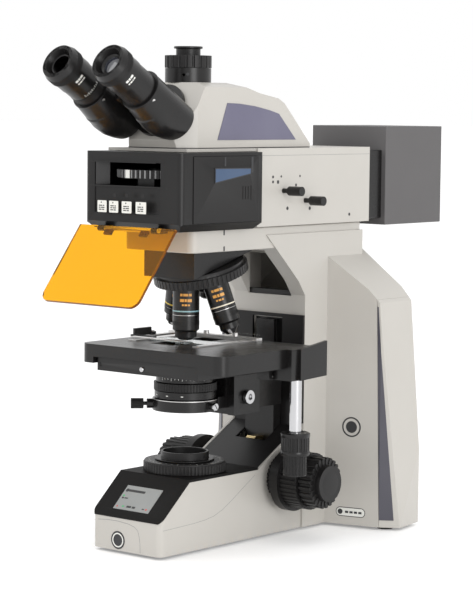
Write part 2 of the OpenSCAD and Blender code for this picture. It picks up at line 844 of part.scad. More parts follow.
// Eyepiece in the tube frame: Z = 0 is the top of the carrier.
module eyepiece_body(ring_room) {
    low = ring_room ? 10 : 0;
    difference() {
        union() {
            translate([0, 0, -22]) cylinder(d = eye_bore, h = 22 + eps);
            translate([0, 0, 0]) cylinder(r = 14, h = 12);
            translate([0, 0, low + 0.3]) cylinder(r = 18.6, h = 25 - low);
            translate([0, 0, 25.2]) cylinder(r = 19.2, h = 14);
            translate([0, 0, 39.1]) cylinder(r1 = 19.2, r2 = 20.2, h = 9);
            translate([0, 0, 48]) cylinder(r1 = 20.2, r2 = 18.2, h = eye_len - 48);
        }
        translate([0, 0, eye_len - 9]) cylinder(r1 = 11, r2 = 14.5, h = 9.1);
        translate([0, 0, -23]) cylinder(r = 9, h = 14);
    }
}

module in_tube(side) {
    at_hub() mirror([side < 0 ? 1 : 0, 0, 0]) rotate([0, 0, -swing_a])
        translate([swing_r, 0, carrier_top]) children();
}

module right_eyepiece() {
    color(dark) in_tube(1) eyepiece_body(false);
}

module left_eyepiece() {
    color(dark) in_tube(-1) eyepiece_body(true);
}

module diopter_ring() {
    color(black) in_tube(-1) difference() {
        translate([0, 0, gap]) grooved(18.9, 9.5, 48, 0.5);
        translate([0, 0, -1]) cylinder(r = 14 + run, h = 20);
    }
}

module photo_tube() {
    color(black) difference() {
        union() {
            translate([0, 0, head_top]) cylinder(d = photo_d, h = photo_z - head_top);
            translate([0, 0, head_top - 8]) cylinder(d = port_d + 6, h = 9);
            translate([0, 0, photo_z - eps]) cylinder(r = photo_d / 2 - 4, h = photo_ring_h);
        }
        translate([0, 0, head_top - 10]) cylinder(d = port_d, h = 60);
        translate([0, 0, photo_z - 7]) rotate([90, 0, 30]) cylinder(r = 1.6, h = 40, $fn = 24);
    }
}

module photo_clamp_ring() {
    color(dark) difference() {
        translate([0, 0, photo_z + gap]) grooved(photo_d / 2 + 0.3, photo_ring_h - gap, 20, 1.4);
        translate([0, 0, photo_z - 1]) cylinder(r = photo_d / 2 - 4 + run, h = photo_ring_h + 3);
    }
}

module photo_cap() {
    z = photo_z + photo_ring_h;
    color(black) {
        translate([0, 0, z - 8]) cylinder(d = port_d - 2 * run, h = 15);
        translate([0, 0, z + 6.9]) cylinder(r = 14.7, h = 2.4);
    }
}

// ---------------------------------------------------------------- nosepiece

module nosepiece_mount() {
    color(black) {
        difference() {
            translate([-34, -27, arm_z - 34]) cube([68, 92, 34]);
            at_turret() translate([-80, -90, -60]) cube([160, 180, 60 + ring_h + band_h + gap]);
            translate([0, 0, arm_z - 60]) cylinder(r = 11, h = 70);
        }
        at_turret() translate([0, 0, -1]) cylinder(r = 6, h = ring_h + band_h + gap + 2);
    }
}

module turret() {
    color(dark) at_turret() difference() {
        union() {
            grooved(turret_d / 2, ring_h, 60, 1);
            translate([0, 0, ring_h - eps]) cylinder(r = turret_d / 2 - 3.2, h = band_h);
            translate([0, 0, -2.5]) cylinder(r = turret_d / 2 - 6, h = 2.6);
        }
        translate([0, 0, -4]) cylinder(r = 6 + run, h = 30);
        for (k = [0 : objective_count - 1]) seat(k) {
            translate([0, 0, -12]) cylinder(d = thread_d, h = 40);
            translate([0, 0, -24]) cylinder(r = 14.2, h = 24);
        }
    }
}

// Frame of one objective seat: the objective hangs down along -Z.
module seat(k) {
    rotate([0, 0, k * 360 / objective_count]) translate([0, -seat_r, 0])
        rotate([-turret_tilt, 0, 0]) children();
}

// Turned body: shoulder, barrel, stepped nose and front lens cell.
module objective(barrel_r, barrel_len, nose_r, nose_len, tip_r, total) {
    cylinder(d = thread_d - 0.1, h = 5);
    translate([0, 0, -barrel_len]) cylinder(r = barrel_r, h = barrel_len);
    translate([0, 0, -barrel_len - 2]) cylinder(r1 = nose_r, r2 = barrel_r - 0.4, h = 2 + eps);
    translate([0, 0, -barrel_len - nose_len]) cylinder(r = nose_r, h = nose_len - 2 + eps);
    translate([0, 0, -total]) cylinder(r1 = tip_r, r2 = nose_r - 0.6,
        h = total - barrel_len - nose_len + eps);
}

module objectives() {
    color(black) at_turret() {
        seat(0) objective(13.8, 48, 11.3, 8, 6.5, 58.8);
        seat(1) objective(13.2, 46, 10, 8, 4.5, 59.2);
        seat(2) cylinder(d = thread_d - 0.1, h = 4);
        seat(3) objective(12.5, 22, 11, 8, 9, 33);
        seat(4) objective(13, 40, 10.5, 9, 8, 53);
    }
}

// ---------------------------------------------------------------- stage

module stage_carriage() {
    block_h = lower_z - bracket_z;
    color(dark) difference() {
        union() {
            translate([-bracket_hw, bracket_y, bracket_z])
                cube([2 * bracket_hw, 42, block_h]);
            translate([-bracket_hw + 5, bracket_y + 42 - eps, bracket_z + 4])
                cube([2 * bracket_hw - 10, neck_y - bracket_y - 42 + 2 * eps, block_h - 4]);
            translate([-slot_hw + 0.5, neck_y, bracket_z - 37])
                cube([2 * slot_hw - 1, col_y + 1.5 - neck_y, block_h + 37]);
            translate([-8, neck_y, bracket_z - 100]) cube([16, 6, 70]);
        }
        plan_slab([[-8 - gap, col_y + 3], [-rail_half - gap, col_y - 7 - gap],
            [rail_half + gap, col_y - 7 - gap], [8 + gap, col_y + 3]],
            bracket_z - 110, lower_z + 1);
        translate([bracket_hw - 14, bracket_y + 21, bracket_z + 18])
            x_disc(5 + run, 0, 20);
        translate([-26 - gap, bracket_y - 1, bracket_z - 1]) cube([52 + 2 * gap, 5, block_h - 3]);
    }
}

// Rack and pinion share one pitch; the pinion's pitch circle touches the rack's pitch line.
rack_pitch = 2 * 180 / pinion_teeth * PI / 180 * pitch_r;
rack_y = focus_y + pitch_r;
rack_half = 12;

function rack_edge() = [for (i = [-rack_half : rack_half + 2], j = [0 : 3])
    [rack_y + (j == 0 || j == 3 ? 0.95 : -0.65),
     focus_z + (i + 0.5) * rack_pitch + [-0.85, -0.25, 0.25, 0.85][j]]];

module focus_rack() {
    z0 = focus_z - (rack_half + 0.3) * rack_pitch;
    z1 = focus_z + (rack_half + 3.2) * rack_pitch;
    color([0.7, 0.65, 0.5]) side_slab(concat([[neck_y, z0], [rack_y + 0.95, z0]],
        rack_edge(), [[rack_y + 0.95, z1], [neck_y, z1]]), 12);
}

// Outline of the pinion, with one tooth pointing at the rack.
function pinion_edge() = [for (i = [0 : pinion_teeth - 1], j = [0 : 3])
    let(a = i * 360 / pinion_teeth, half = [0.95, 0.22, -0.22, -0.95][j],
        rad = j == 0 || j == 3 ? pitch_r - 0.95 : pitch_r + 0.65)
    [rad * cos(a) + half * sin(a), rad * sin(a) - half * cos(a)]];

module bracket_screw() {
    color(chrome) translate([bracket_hw - 12, bracket_y + 21, bracket_z + 18]) {
        x_disc(5, 0, 14);
        difference() {
            x_disc(7.5, 12 + gap, 17);
            translate([14.5, 0, 0]) x_disc(3, 0, 4);
        }
    }
}

module stage_lower_plate() {
    color(dark) difference() {
        translate([-50, -stage_front + 4, lower_z])
            cube([136, stage_l - 4, stage_z - stage_t - gap - lower_z]);
        translate([0, 0, lower_z - 1]) cylinder(r = cond_r + 4, h = 20);
        translate([-45, -stage_front + 3, lower_z + 6.5]) rotate([90, 0, 0])
            translate([0, 0, -2]) cylinder(r = 2, h = 3);
    }
}

// Right and rear edges of the stage top plate, and the ends of the guide rods under it.
rod_y0 = 14;
rod_y1 = 40;
stage_x1 = stage_x0 + stage_w;
stage_y1 = stage_l - stage_front;

module stage_top_plate() {
    color(black) difference() {
        union() {
            translate([(stage_x0 + stage_x1) / 2, (stage_y1 - stage_front) / 2, stage_z - stage_t])
                rounded_box(stage_w, stage_l, stage_t, 12);
            // skirts at the front corners and along the sides
            intersection() {
                translate([(stage_x0 + stage_x1) / 2, (stage_y1 - stage_front) / 2, skirt_z])
                    rounded_box(stage_w, stage_l, 8, 12);
                union() {
                    translate([stage_x0, -stage_front, skirt_z])
                        cube([-50 - 2 - stage_x0, stage_l, 8]);
                    translate([88, -stage_front, skirt_z]) cube([stage_x1 - 88, stage_l, 8]);
                }
            }
            // drive housing with its raised side plate
            translate([drive_x - 12, drive_y - 23, housing_z])
                cube([24, 30, stage_z - housing_z]);
            translate([88, rod_y1, housing_z]) cube([drive_x - 88, 6, skirt_z - housing_z + 1]);
            translate([88, rod_y0 - 5, housing_z]) cube([16, 5, skirt_z - housing_z + 1]);
            translate([drive_x + 12 - eps, 0, 0]) rotate([90, 0, 90]) linear_extrude(3.5)
                polygon([[drive_y - 12, housing_z], [drive_y - 12, stage_z],
                    [drive_y + 31, stage_z + 6], [drive_y + 31, housing_z + 2]]);
        }
        translate([-hole_hw, -hole_l, stage_z - stage_t - 1])
            cube([2 * hole_hw, hole_rear + hole_l, stage_t + 2]);
    }
}

module stage_tube() {
    color(chrome) {
        translate([drive_x, drive_y, tube_z - 14]) cylinder(d = tube_d, h = housing_z - tube_z + 14);
        for (x = [92, 98])
            translate([x, rod_y0, housing_z + 3.5]) rotate([-90, 0, 0])
                cylinder(r = 2, h = rod_y1 - rod_y0);
    }
}

module stage_y_knob() {
    color(black) difference() {
        translate([drive_x, drive_y, tube_z]) union() {
            grooved(14.6, 23, 24, 1.1);
        }
        translate([drive_x, drive_y, tube_z - 1]) cylinder(d = tube_d + 2 * run, h = 40);
    }
}

module stage_x_knob() {
    color(black) difference() {
        translate([drive_x, drive_y, tube_z - 21]) grooved(12, 21 - gap, 24, 1);
        translate([drive_x, drive_y, tube_z - 14.5]) cylinder(d = tube_d + 2 * run, h = 40);
    }
}

// Slide holder: a rear rail with two steel arms beside the slide.
module slide_holder() {
    arm_t = slide_t + 0.1;
    z = stage_z + gap - 0.3;
    color(chrome) {
        translate([-50, -34, z]) cube([11.6, 86, arm_t]);
        translate([38.4, -34, z]) cube([8.6, 86, arm_t]);
    }
    color(black) {
        translate([-70, 52, z]) cube([122, 9, arm_t + 2]);
        translate([-70, 14, z]) cube([8, 38 + eps, arm_t]);
        translate([-66, 22, z]) cylinder(r = 2, h = arm_t + 4.5);
        for (x = [-20, 20])
            translate([x, 56, z + arm_t + 1.9]) cylinder(r = 3, h = 3.5);
    }
}

module slide_finger() {
    color(black) translate([-66, 22, stage_z + gap + slide_t + 0.2]) difference() {
        union() {
            cylinder(r = 4, h = 3);
            translate([-1.5, -29, 0]) cube([3, 26, 8]);
            translate([-1.5, -33, 0]) cube([31.5, 6, 2]);
        }
        translate([0, 0, -1]) cylinder(r = 2 + run, h = 6);
    }
}

module glass_slide() {
    color([0.8, 0.9, 0.92]) translate([-38, -13, stage_z + 0.1]) cube([76, 26, slide_t - 0.1]);
}

// ---------------------------------------------------------------- condenser

module condenser_fork() {
    z = cond_z - 12;
    color(black) difference() {
        union() {
            translate([0, 0, z]) cylinder(r = fork_r, h = 12);
            translate([-24, 0, z]) cube([48, bracket_y - gap, 12]);
            translate([-26, bracket_y - 3, z]) cube([52, 6.5, 34]);
            rotate([0, 0, 225]) translate([fork_r - 3, 0, z + 6]) rotate([0, 90, 0])
                cylinder(r = 5, h = 9);
            translate([0, 0, z + 6]) x_disc(3.5, fork_r - 3, fork_r + 6);
        }
        translate([0, 0, z - 1]) cylinder(r = cond_r - 5, h = 30);
        translate([0, 0, z + 3]) cylinder(r = cond_r - 2 + run, h = 30);
        rotate([0, 0, 225]) translate([0, 0, z + 6]) rotate([0, 90, 0])
            cylinder(r = 2 + run, h = fork_r + 20);
    }
}

module condenser_body() {
    z = cond_z - 9;
    color(dark) difference() {
        union() {
            translate([0, 0, z]) cylinder(r = cond_r - 2, h = 12);
            translate([0, 0, cond_z + gap]) cylinder(r = cond_r, h = 8.2);
            translate([0, 0, cond_z + 8]) cylinder(r = cond_r - 6, h = 12);
            translate([0, 0, ring_z + ring_t + gap]) cylinder(r = cond_r - 1.5, h = 9);
            translate([0, 0, ring_z + ring_t + 9]) cylinder(r1 = cond_r - 4, r2 = 20, h = 10);
            translate([0, 0, ring_z + ring_t + 18.9]) cylinder(r = 20, h = 4);
            translate([0, 0, ring_z + ring_t + 22]) cylinder(r1 = 15.2, r2 = 11,
                h = stage_z - 1.6 - ring_z - ring_t - 22);
        }
        translate([0, 0, z - 1]) cylinder(r = 18, h = 10);
    }
}

module aperture_ring() {
    color(black) difference() {
        translate([0, 0, ring_z]) grooved(cond_r + 0.8, ring_t, 64, 0.6);
        translate([0, 0, ring_z - 1]) cylinder(r = cond_r - 6 + run, h = ring_t + 2);
    }
}

module centring_screw() {
    color(chrome) rotate([0, 0, 225]) translate([cond_r - 1.8, 0, cond_z - 6]) rotate([0, 90, 0])
        cylinder(r = 2, h = 14);
    color(black) rotate([0, 0, 225]) translate([cond_r + 11.4, 0, cond_z - 6]) rotate([0, 90, 0])
        grooved(5.4, 13, 18, 0.6);
}

// ---------------------------------------------------------------- focus drive

knob_end = knob_x + coarse_flange + coarse_grip;

module coarse_knobs() {
    color(dark) for (s = [-1, 1]) at_focus() mirror([s < 0 ? 1 : 0, 0, 0]) difference() {
        union() {
            x_disc(coarse_d / 2, knob_x, knob_x + coarse_flange);
            translate([knob_x + coarse_flange - eps, 0, 0]) rotate([0, 90, 0])
                grooved(coarse_d / 2 - 4, coarse_grip, 40, 1);
        }
        x_disc(shaft_d / 2, 0, knob_end + 1);
        translate([knob_end - 3, 0, 0]) x_disc(fine_d / 2 - 6, 0, 4);
    }
}

module coarse_shaft() {
    color(chrome) at_focus() difference() {
        union() {
            x_disc(shaft_d / 2, -knob_end + 4, knob_end - 4);
            translate([-7, 0, 0]) rotate([90, 0, 90]) linear_extrude(14)
                polygon(pinion_edge());
        }
        x_disc(fine_shaft_d / 2 + run, -knob_end, knob_end);
    }
}

module fine_knobs() {
    color(dark) at_focus() {
        for (s = [-1, 1]) mirror([s < 0 ? 1 : 0, 0, 0]) {
            translate([knob_end + gap, 0, 0]) rotate([0, 90, 0])
                grooved(fine_d / 2, fine_len, 24, 2);
            x_disc(fine_d / 2 - 8, knob_end + fine_len, knob_end + fine_len + 7);
        }
        x_disc(fine_shaft_d / 2, -knob_end - 1, knob_end + 1);
    }
}

module tension_ring() {
    color(dark) at_focus() difference() {
        translate([base_hw + gap, 0, 0]) rotate([0, 90, 0])
            grooved(25, knob_x - base_hw - 2 * gap, 36, 1.2);
        x_disc(shaft_d / 2 + run, 0, 80);
    }
}

base_shell();
base_deck();
column_liner();
display_screen();
bottom_plate();
feet();
column_shell();
rear_cover();
side_inlays();
upper_arm();
illuminator_box();
module_housing();
lamp_collar();
lamp_house();
lamp();
head_body();
hub_disc();
photo_tube();
power_inlet();
led_module();
field_lens();
focus_rail();
nosepiece_mount();
screws();
power_switch();
side_door();
filter_wheel();
slider_rod_front();
slider_rod_rear();
amber_shield();
photo_clamp_ring();
photo_cap();
left_carrier();
right_carrier();
left_eyepiece();
right_eyepiece();
diopter_ring();
turret();
objectives();
stage_carriage();
focus_rack();
bracket_screw();
stage_lower_plate();
stage_top_plate();
stage_tube();
stage_y_knob();
stage_x_knob();
slide_holder();
slide_finger();
glass_slide();
condenser_fork();
condenser_body();
aperture_ring();
centring_screw();
field_ring();
filter_holder();
tension_ring();
coarse_knobs();
coarse_shaft();
fine_knobs();
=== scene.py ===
"""Looks of an upright laboratory microscope with an incident fluorescence unit."""

import json
import math

import bmesh
import bpy
from mathutils import Matrix, Vector

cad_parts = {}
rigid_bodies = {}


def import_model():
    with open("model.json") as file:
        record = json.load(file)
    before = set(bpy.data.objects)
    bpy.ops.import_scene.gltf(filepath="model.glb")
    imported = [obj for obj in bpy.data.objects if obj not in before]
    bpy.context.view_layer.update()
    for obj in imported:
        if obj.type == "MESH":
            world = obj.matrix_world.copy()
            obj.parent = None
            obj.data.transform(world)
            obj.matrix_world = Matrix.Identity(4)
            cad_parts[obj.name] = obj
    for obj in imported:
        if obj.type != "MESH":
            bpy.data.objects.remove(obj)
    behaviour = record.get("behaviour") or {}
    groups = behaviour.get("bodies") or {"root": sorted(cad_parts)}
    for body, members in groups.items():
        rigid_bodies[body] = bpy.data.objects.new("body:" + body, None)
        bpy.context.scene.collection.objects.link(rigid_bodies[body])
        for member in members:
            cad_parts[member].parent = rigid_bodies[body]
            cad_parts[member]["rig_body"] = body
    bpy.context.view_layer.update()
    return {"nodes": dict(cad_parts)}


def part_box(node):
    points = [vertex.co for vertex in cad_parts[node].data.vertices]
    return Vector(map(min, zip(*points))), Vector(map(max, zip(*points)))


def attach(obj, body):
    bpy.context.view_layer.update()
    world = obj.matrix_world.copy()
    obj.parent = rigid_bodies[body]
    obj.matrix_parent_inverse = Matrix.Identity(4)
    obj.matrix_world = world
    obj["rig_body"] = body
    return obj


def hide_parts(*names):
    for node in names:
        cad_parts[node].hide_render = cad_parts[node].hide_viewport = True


MM = 0.001
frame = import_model()


# ---------------------------------------------------------------- shader maths

class Num:
    """A number socket; arithmetic on it adds Math nodes."""

    def __init__(self, finish, socket):
        self.finish = finish
        self.socket = socket

    def _math(self, operation, *values):
        node = self.finish.node("ShaderNodeMath", {"operation": operation},
                                dict(enumerate(values)))
        return Num(self.finish, node.outputs[0])

    def __add__(self, other):
        return self._math("ADD", self, other)

    __radd__ = __add__

    def __sub__(self, other):
        return self._math("SUBTRACT", self, other)

    def __rsub__(self, other):
        return self._math("SUBTRACT", other, self)

    def __mul__(self, other):
        return self._math("MULTIPLY", self, other)

    __rmul__ = __mul__

    def clamped(self):
        return self._math("MINIMUM", self._math("MAXIMUM", self, 0.0), 1.0)


class Finish:
    """A node material built from one shader and whatever drives it."""

    def __init__(self, name):
        self.material = bpy.data.materials.new(name)
        self.material.use_nodes = True
        self.tree = self.material.node_tree
        self.tree.nodes.clear()
        self.output = self.tree.nodes.new("ShaderNodeOutputMaterial")
        self.where = self.node("ShaderNodeTexCoord").outputs["Object"]

    def node(self, kind, settings=None, inputs=None):
        made = self.tree.nodes.new(kind)
        for key, value in (settings or {}).items():
            setattr(made, key, value)
        for key, value in (inputs or {}).items():
            if isinstance(value, Num):
                value = value.socket
            if isinstance(value, bpy.types.NodeSocket):
                self.tree.links.new(value, made.inputs[key])
            else:
                made.inputs[key].default_value = value
        return made

    def noise(self, scale, detail=2.0, rough=0.5, where=None):
        made = self.node("ShaderNodeTexNoise", None, {
            "Vector": where or self.where, "Scale": scale, "Detail": detail,
            "Roughness": rough})
        return Num(self, made.outputs["Fac"])

    def stretched(self, scale):
        made = self.node("ShaderNodeMapping", None, {"Vector": self.where, "Scale": scale})
        return made.outputs[0]

    def blend(self, factor, low, high):
        made = self.node("ShaderNodeMix", {"data_type": "RGBA"},
                         {0: factor, 6: low, 7: high})
        return made.outputs[2]

    def bump(self, height, depth, strength=1.0):
        made = self.node("ShaderNodeBump", None, {
            "Height": height, "Distance": depth, "Strength": strength})
        return made.outputs[0]

    def shade(self, **sockets):
        inputs = {key.replace("_", " ").title().replace("Ior", "IOR"): value
                  for key, value in sockets.items()}
        shader = self.node("ShaderNodeBsdfPrincipled", None, inputs)
        self.tree.links.new(shader.outputs[0], self.output.inputs[0])
        return self.material


def rgba(colour):
    return (*colour, 1.0)


def mixed(colour, amount, towards):
    """A colour moved by an amount from 0 to 1 towards another."""
    return rgba([c + (t - c) * amount for c, t in zip(colour, towards)])


def coated(name, colour, rough=0.42, grain=2600.0, depth=0.00002, vary=0.05, coat=0.0,
           specular=0.5, dust=0.0):
    """Sprayed or moulded surface: fine grain, soft large-scale variation, a little dust."""
    f = Finish(name)
    broad = f.noise(9.0, 3.0, 0.55)
    fine = f.noise(grain, 2.0, 0.6)
    patch = ((broad - 0.35) * 2.2).clamped()
    base = f.blend(patch, mixed(colour, vary, (0, 0, 0)), mixed(colour, vary, (1, 1, 1)))
    if dust:
        speck = f.noise(900.0, 1.0, 0.5)
        speck = (speck - 0.72).clamped() * 6.0
        base = f.blend(speck.clamped(), base, mixed(colour, dust, (0.6, 0.58, 0.55)))
    roughness = rough + (fine - 0.5) * 0.12 + (broad - 0.5) * 0.1
    return f.shade(base_color=base, roughness=roughness, coat_weight=coat,
                   coat_roughness=0.18, specular_ior_level=specular,
                   normal=f.bump(fine, depth, 0.8))


def turned(name, colour, rough, metallic=1.0, lines=1400.0, along=2, depth=0.000006):
    """Lathe-turned or drawn metal: fine rings across one axis."""
    f = Finish(name)
    squeeze = [6.0, 6.0, 6.0]
    squeeze[along] = lines
    lathe = f.noise(1.0, 3.0, 0.6, f.stretched(squeeze))
    broad = f.noise(30.0, 2.0, 0.5)
    base = f.blend(broad, mixed(colour, 0.08, (0, 0, 0)), mixed(colour, 0.06, (1, 1, 1)))
    roughness = rough + (lathe - 0.5) * 0.12 + (broad - 0.5) * 0.06
    return f.shade(base_color=base, roughness=roughness, metallic=metallic,
                   normal=f.bump(lathe, depth, 0.5))


WHITE = coated("warm_white_enamel", (0.47, 0.45, 0.415), 0.4, 3200.0, 0.000012, 0.03,
               coat=0.15)
BLACK = coated("satin_black_moulding", (0.007, 0.0064, 0.0064), 0.36, 2400.0, 0.00003, 0.004,
               specular=0.3, dust=0.06)
ANODISED = coated("black_anodised_metal", (0.0065, 0.006, 0.006), 0.28, 3600.0, 0.00001, 0.004,
                  specular=0.36, dust=0.05)
DECK = coated("matte_black_deck", (0.0075, 0.007, 0.0068), 0.55, 2400.0, 0.00003, 0.004,
              specular=0.1, dust=0.05)
# The violet inlay made darker, as painted shade for the column's strips.
SHADED_VIOLET = coated("violet_inlay_painted_shade", (0.047, 0.045, 0.062), 0.36, 2600.0, 0.00001, 0.02,
                     coat=0.3)
GRIP = coated("matte_black_grip", (0.009, 0.0083, 0.0083), 0.42, 1500.0, 0.00004, 0.006,
              specular=0.32, dust=0.08)
RUBBER = coated("soft_black_rubber", (0.014, 0.0132, 0.0132), 0.62, 1800.0, 0.00005, 0.008,
                specular=0.28, dust=0.1)
LAMP_GREY = coated("textured_grey_powder_coat", (0.1, 0.096, 0.097), 0.5, 1100.0, 0.0001, 0.012,
                   specular=0.35, dust=0.05)
VIOLET = coated("violet_grey_inlay", (0.105, 0.1, 0.16), 0.34, 2600.0, 0.00001, 0.03, coat=0.3)
BLUE = coated("slate_blue_mark", (0.035, 0.07, 0.14), 0.4, 2600.0, 0.00001, 0.03)
LABEL = coated("white_print", (0.72, 0.72, 0.68), 0.5, 2600.0, 0.000005, 0.02)
INK = coated("black_print", (0.02, 0.02, 0.022), 0.5, 2600.0, 0.000005, 0.01)
GOLD = coated("amber_print", (0.75, 0.36, 0.06), 0.45, 2600.0, 0.000005, 0.03)
PALE_BLUE = coated("pale_blue_band", (0.28, 0.5, 0.56), 0.4, 2600.0, 0.000005, 0.03)
YELLOW = coated("yellow_band", (0.8, 0.62, 0.08), 0.4, 2600.0, 0.000005, 0.03)
CREAM = coated("cream_band", (0.8, 0.74, 0.6), 0.4, 2600.0, 0.000005, 0.03)
GREEN = coated("green_print", (0.05, 0.4, 0.14), 0.4, 2600.0, 0.000005, 0.03)
RED = coated("red_print", (0.55, 0.04, 0.03), 0.4, 2600.0, 0.000005, 0.03)
GREY_TOP = coated("grey_ring_top", (0.2, 0.2, 0.2), 0.45, 2400.0, 0.00002, 0.03)
CHROME = turned("polished_chrome", (0.5, 0.5, 0.51), 0.12, 1.0, 900.0, 2, 0.000002)
STEEL = turned("ground_steel", (0.62, 0.61, 0.6), 0.3, 1.0, 1800.0, 0, 0.000008)
ALUMINIUM = turned("machined_aluminium", (0.66, 0.66, 0.66), 0.3, 1.0, 1500.0, 2, 0.000008)
BRASS = turned("machined_brass", (0.7, 0.55, 0.28), 0.28, 1.0, 1500.0, 2, 0.000008)
DULL_STEEL = turned("painted_sheet", (0.09, 0.09, 0.09), 0.5, 0.3, 900.0, 0, 0.000006)


def clear(name, colour, rough, transmission, ior=1.49, specular=0.5):
    """Clear or tinted solid with faint waves and finger marks."""
    f = Finish(name)
    wave = f.noise(14.0, 1.0, 0.4)
    smear = f.noise(60.0, 3.0, 0.6)
    base = f.blend(wave, mixed(colour, 0.04, (0, 0, 0)), rgba(colour))
    return f.shade(base_color=base, roughness=rough + (smear - 0.5) * 0.06,
                   transmission_weight=transmission, ior=ior,
                   specular_ior_level=specular, normal=f.bump(wave, 0.0003, 0.15))


AMBER = clear("amber_acrylic", (1.0, 0.46, 0.006), 0.04, 0.95, 1.25, specular=0.1)
LENS = coated("coated_lens", (0.012, 0.014, 0.024), 0.06, 60.0, 0.000002, 0.01, coat=0.8,
              specular=0.7)
GLASS = clear("slide_glass", (0.9, 0.97, 0.96), 0.03, 0.95)
FROST = clear("frosted_glass", (0.8, 0.85, 0.86), 0.4, 0.3)


def screen_finish():
    """Grey display with soft broad variation and a fine grain."""
    f = Finish("grey_display")
    broad = f.noise(30.0, 2.0, 0.5)
    fine = f.noise(5200.0, 1.0, 0.5)
    base = f.blend(broad, rgba((0.23, 0.24, 0.235)), rgba((0.29, 0.3, 0.295)))
    return f.shade(base_color=base, roughness=0.3 + (fine - 0.5) * 0.06, coat_weight=0.5,
                   coat_roughness=0.1, normal=f.bump(fine, 0.000004, 0.3))


SCREEN = screen_finish()


# ---------------------------------------------------------------- mesh helpers

def settle(mesh, angle=32.0):
    mesh.shade_smooth()
    mesh.set_sharp_from_angle(angle=math.radians(angle))


def place(name, mesh, finish, body, stands_for=()):
    """Makes a finished piece that rides on a CAD body."""
    mesh.materials.clear()
    mesh.materials.append(finish)
    piece = bpy.data.objects.new(name, mesh)
    bpy.context.scene.collection.objects.link(piece)
    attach(piece, body)
    if stands_for:
        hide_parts(*stands_for)
    return piece


def refined(node, finish, edge=0.6, segments=3, angle=32.0, keep=None, tag="", flat=True):
    """A copy of a CAD node with rounded edges, in place of it."""
    source = frame["nodes"][node]
    mesh = source.data.copy()
    bm = bmesh.new()
    bm.from_mesh(mesh)
    bmesh.ops.remove_doubles(bm, verts=bm.verts, dist=2e-6)
    if flat:
        bmesh.ops.dissolve_limit(bm, angle_limit=math.radians(0.6), verts=bm.verts,
                                 edges=bm.edges, delimit={"NORMAL"})
    if keep:
        keep(bm)
    bm.to_mesh(mesh)
    bm.free()
    carrier = bpy.data.objects.new(node + "_work", mesh)
    bpy.context.scene.collection.objects.link(carrier)
    if edge:
        bevel = carrier.modifiers.new("edge", "BEVEL")
        bevel.width = edge * MM
        bevel.segments = segments
        bevel.limit_method = "ANGLE"
        bevel.angle_limit = math.radians(angle)
        bevel.harden_normals = True
        bevel.use_clamp_overlap = True
        bevel.miter_outer = "MITER_ARC"
    mesh.shade_smooth()
    mesh.set_sharp_from_angle(angle=math.radians(angle))
    depsgraph = bpy.context.evaluated_depsgraph_get()
    result = bpy.data.meshes.new_from_object(carrier.evaluated_get(depsgraph))
    bpy.data.objects.remove(carrier)
    body = source["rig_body"]
    return place(node + tag + "_skin", result, finish, body, stands_for=(node,))


def baked(name, bm, finish, body, matrix=None, stands_for=(), crisp=32.0):
    """Ends a bmesh as a piece, its faces outward and smooth up to the crisp angle."""
    bmesh.ops.recalc_face_normals(bm, faces=bm.faces)
    mesh = bpy.data.meshes.new(name)
    bm.to_mesh(mesh)
    bm.free()
    if matrix:
        mesh.transform(matrix)
    settle(mesh, crisp)
    return place(name, mesh, finish, body, stands_for)


def prism(bm, outline, thick, matrix=None):
    """Adds an outline in mm, pushed up by a thickness in mm, and returns its top corners."""
    def corners(height):
        spots = [Vector((x * MM, y * MM, height * MM)) for x, y in outline]
        return [bm.verts.new(matrix @ spot if matrix else spot) for spot in spots]

    low, high = corners(0), corners(thick)
    bm.faces.new(list(reversed(low)))
    bm.faces.new(high)
    for i in range(len(outline)):
        j = (i + 1) % len(outline)
        bm.faces.new((low[i], low[j], high[j], high[i]))
    return high


ON_AXIS = 1e-6


def lathe(name, profile, matrix, finish, body, slot=None, steps=72):
    """Turns a profile of (radius, height) points in mm round the matrix's Z axis."""
    bm = bmesh.new()
    rings = []
    for radius, height in profile:
        if radius < ON_AXIS:
            rings.append([bm.verts.new((0, 0, height * MM))])
            continue
        ring = []
        for i in range(steps):
            a = 2 * math.pi * i / steps
            ring.append(bm.verts.new((radius * MM * math.cos(a), radius * MM * math.sin(a),
                                      height * MM)))
        rings.append(ring)
    for low, high in zip(rings, rings[1:]):
        for i in range(steps):
            j = (i + 1) % steps
            if len(low) == 1 and len(high) == 1:
                break
            if len(low) == 1:
                bm.faces.new((low[0], high[i], high[j]))
            elif len(high) == 1:
                bm.faces.new((low[i], low[j], high[0]))
            else:
                bm.faces.new((low[i], low[j], high[j], high[i]))
    if profile[0] == profile[-1]:
        bmesh.ops.remove_doubles(bm, verts=bm.verts, dist=1e-7)
    else:
        if len(rings[0]) > 1:
            bm.faces.new(list(reversed(rings[0])))
        if len(rings[-1]) > 1:
            bm.faces.new(rings[-1])
    return baked(name, bm, finish, body, matrix)


def slab(name, outline, thick, matrix, finish, body, edge=0.0, stands_for=()):
    """An outline in mm, pushed up along the matrix's Z by its thickness in mm."""
    bm = bmesh.new()
    high = prism(bm, outline, thick)
    if edge:
        top = [e for e in bm.edges if all(v in high for v in e.verts)]
        bmesh.ops.bevel(bm, geom=top, offset=edge * MM, segments=2, affect="EDGES")
    return baked(name, bm, finish, body, matrix, stands_for)


def rounded(x0, y0, x1, y1, r, steps=6):
    points = []
    for cx, cy, start in ((x1 - r, y1 - r, 0), (x0 + r, y1 - r, 90), (x0 + r, y0 + r, 180),
                          (x1 - r, y0 + r, 270)):
        for i in range(steps + 1):
            a = math.radians(start + 90 * i / steps)
            points.append((cx + r * math.cos(a), cy + r * math.sin(a)))
    return points


def disc(r, cx=0.0, cy=0.0, steps=40):
    return [(cx + r * math.cos(2 * math.pi * i / steps),
             cy + r * math.sin(2 * math.pi * i / steps)) for i in range(steps)]


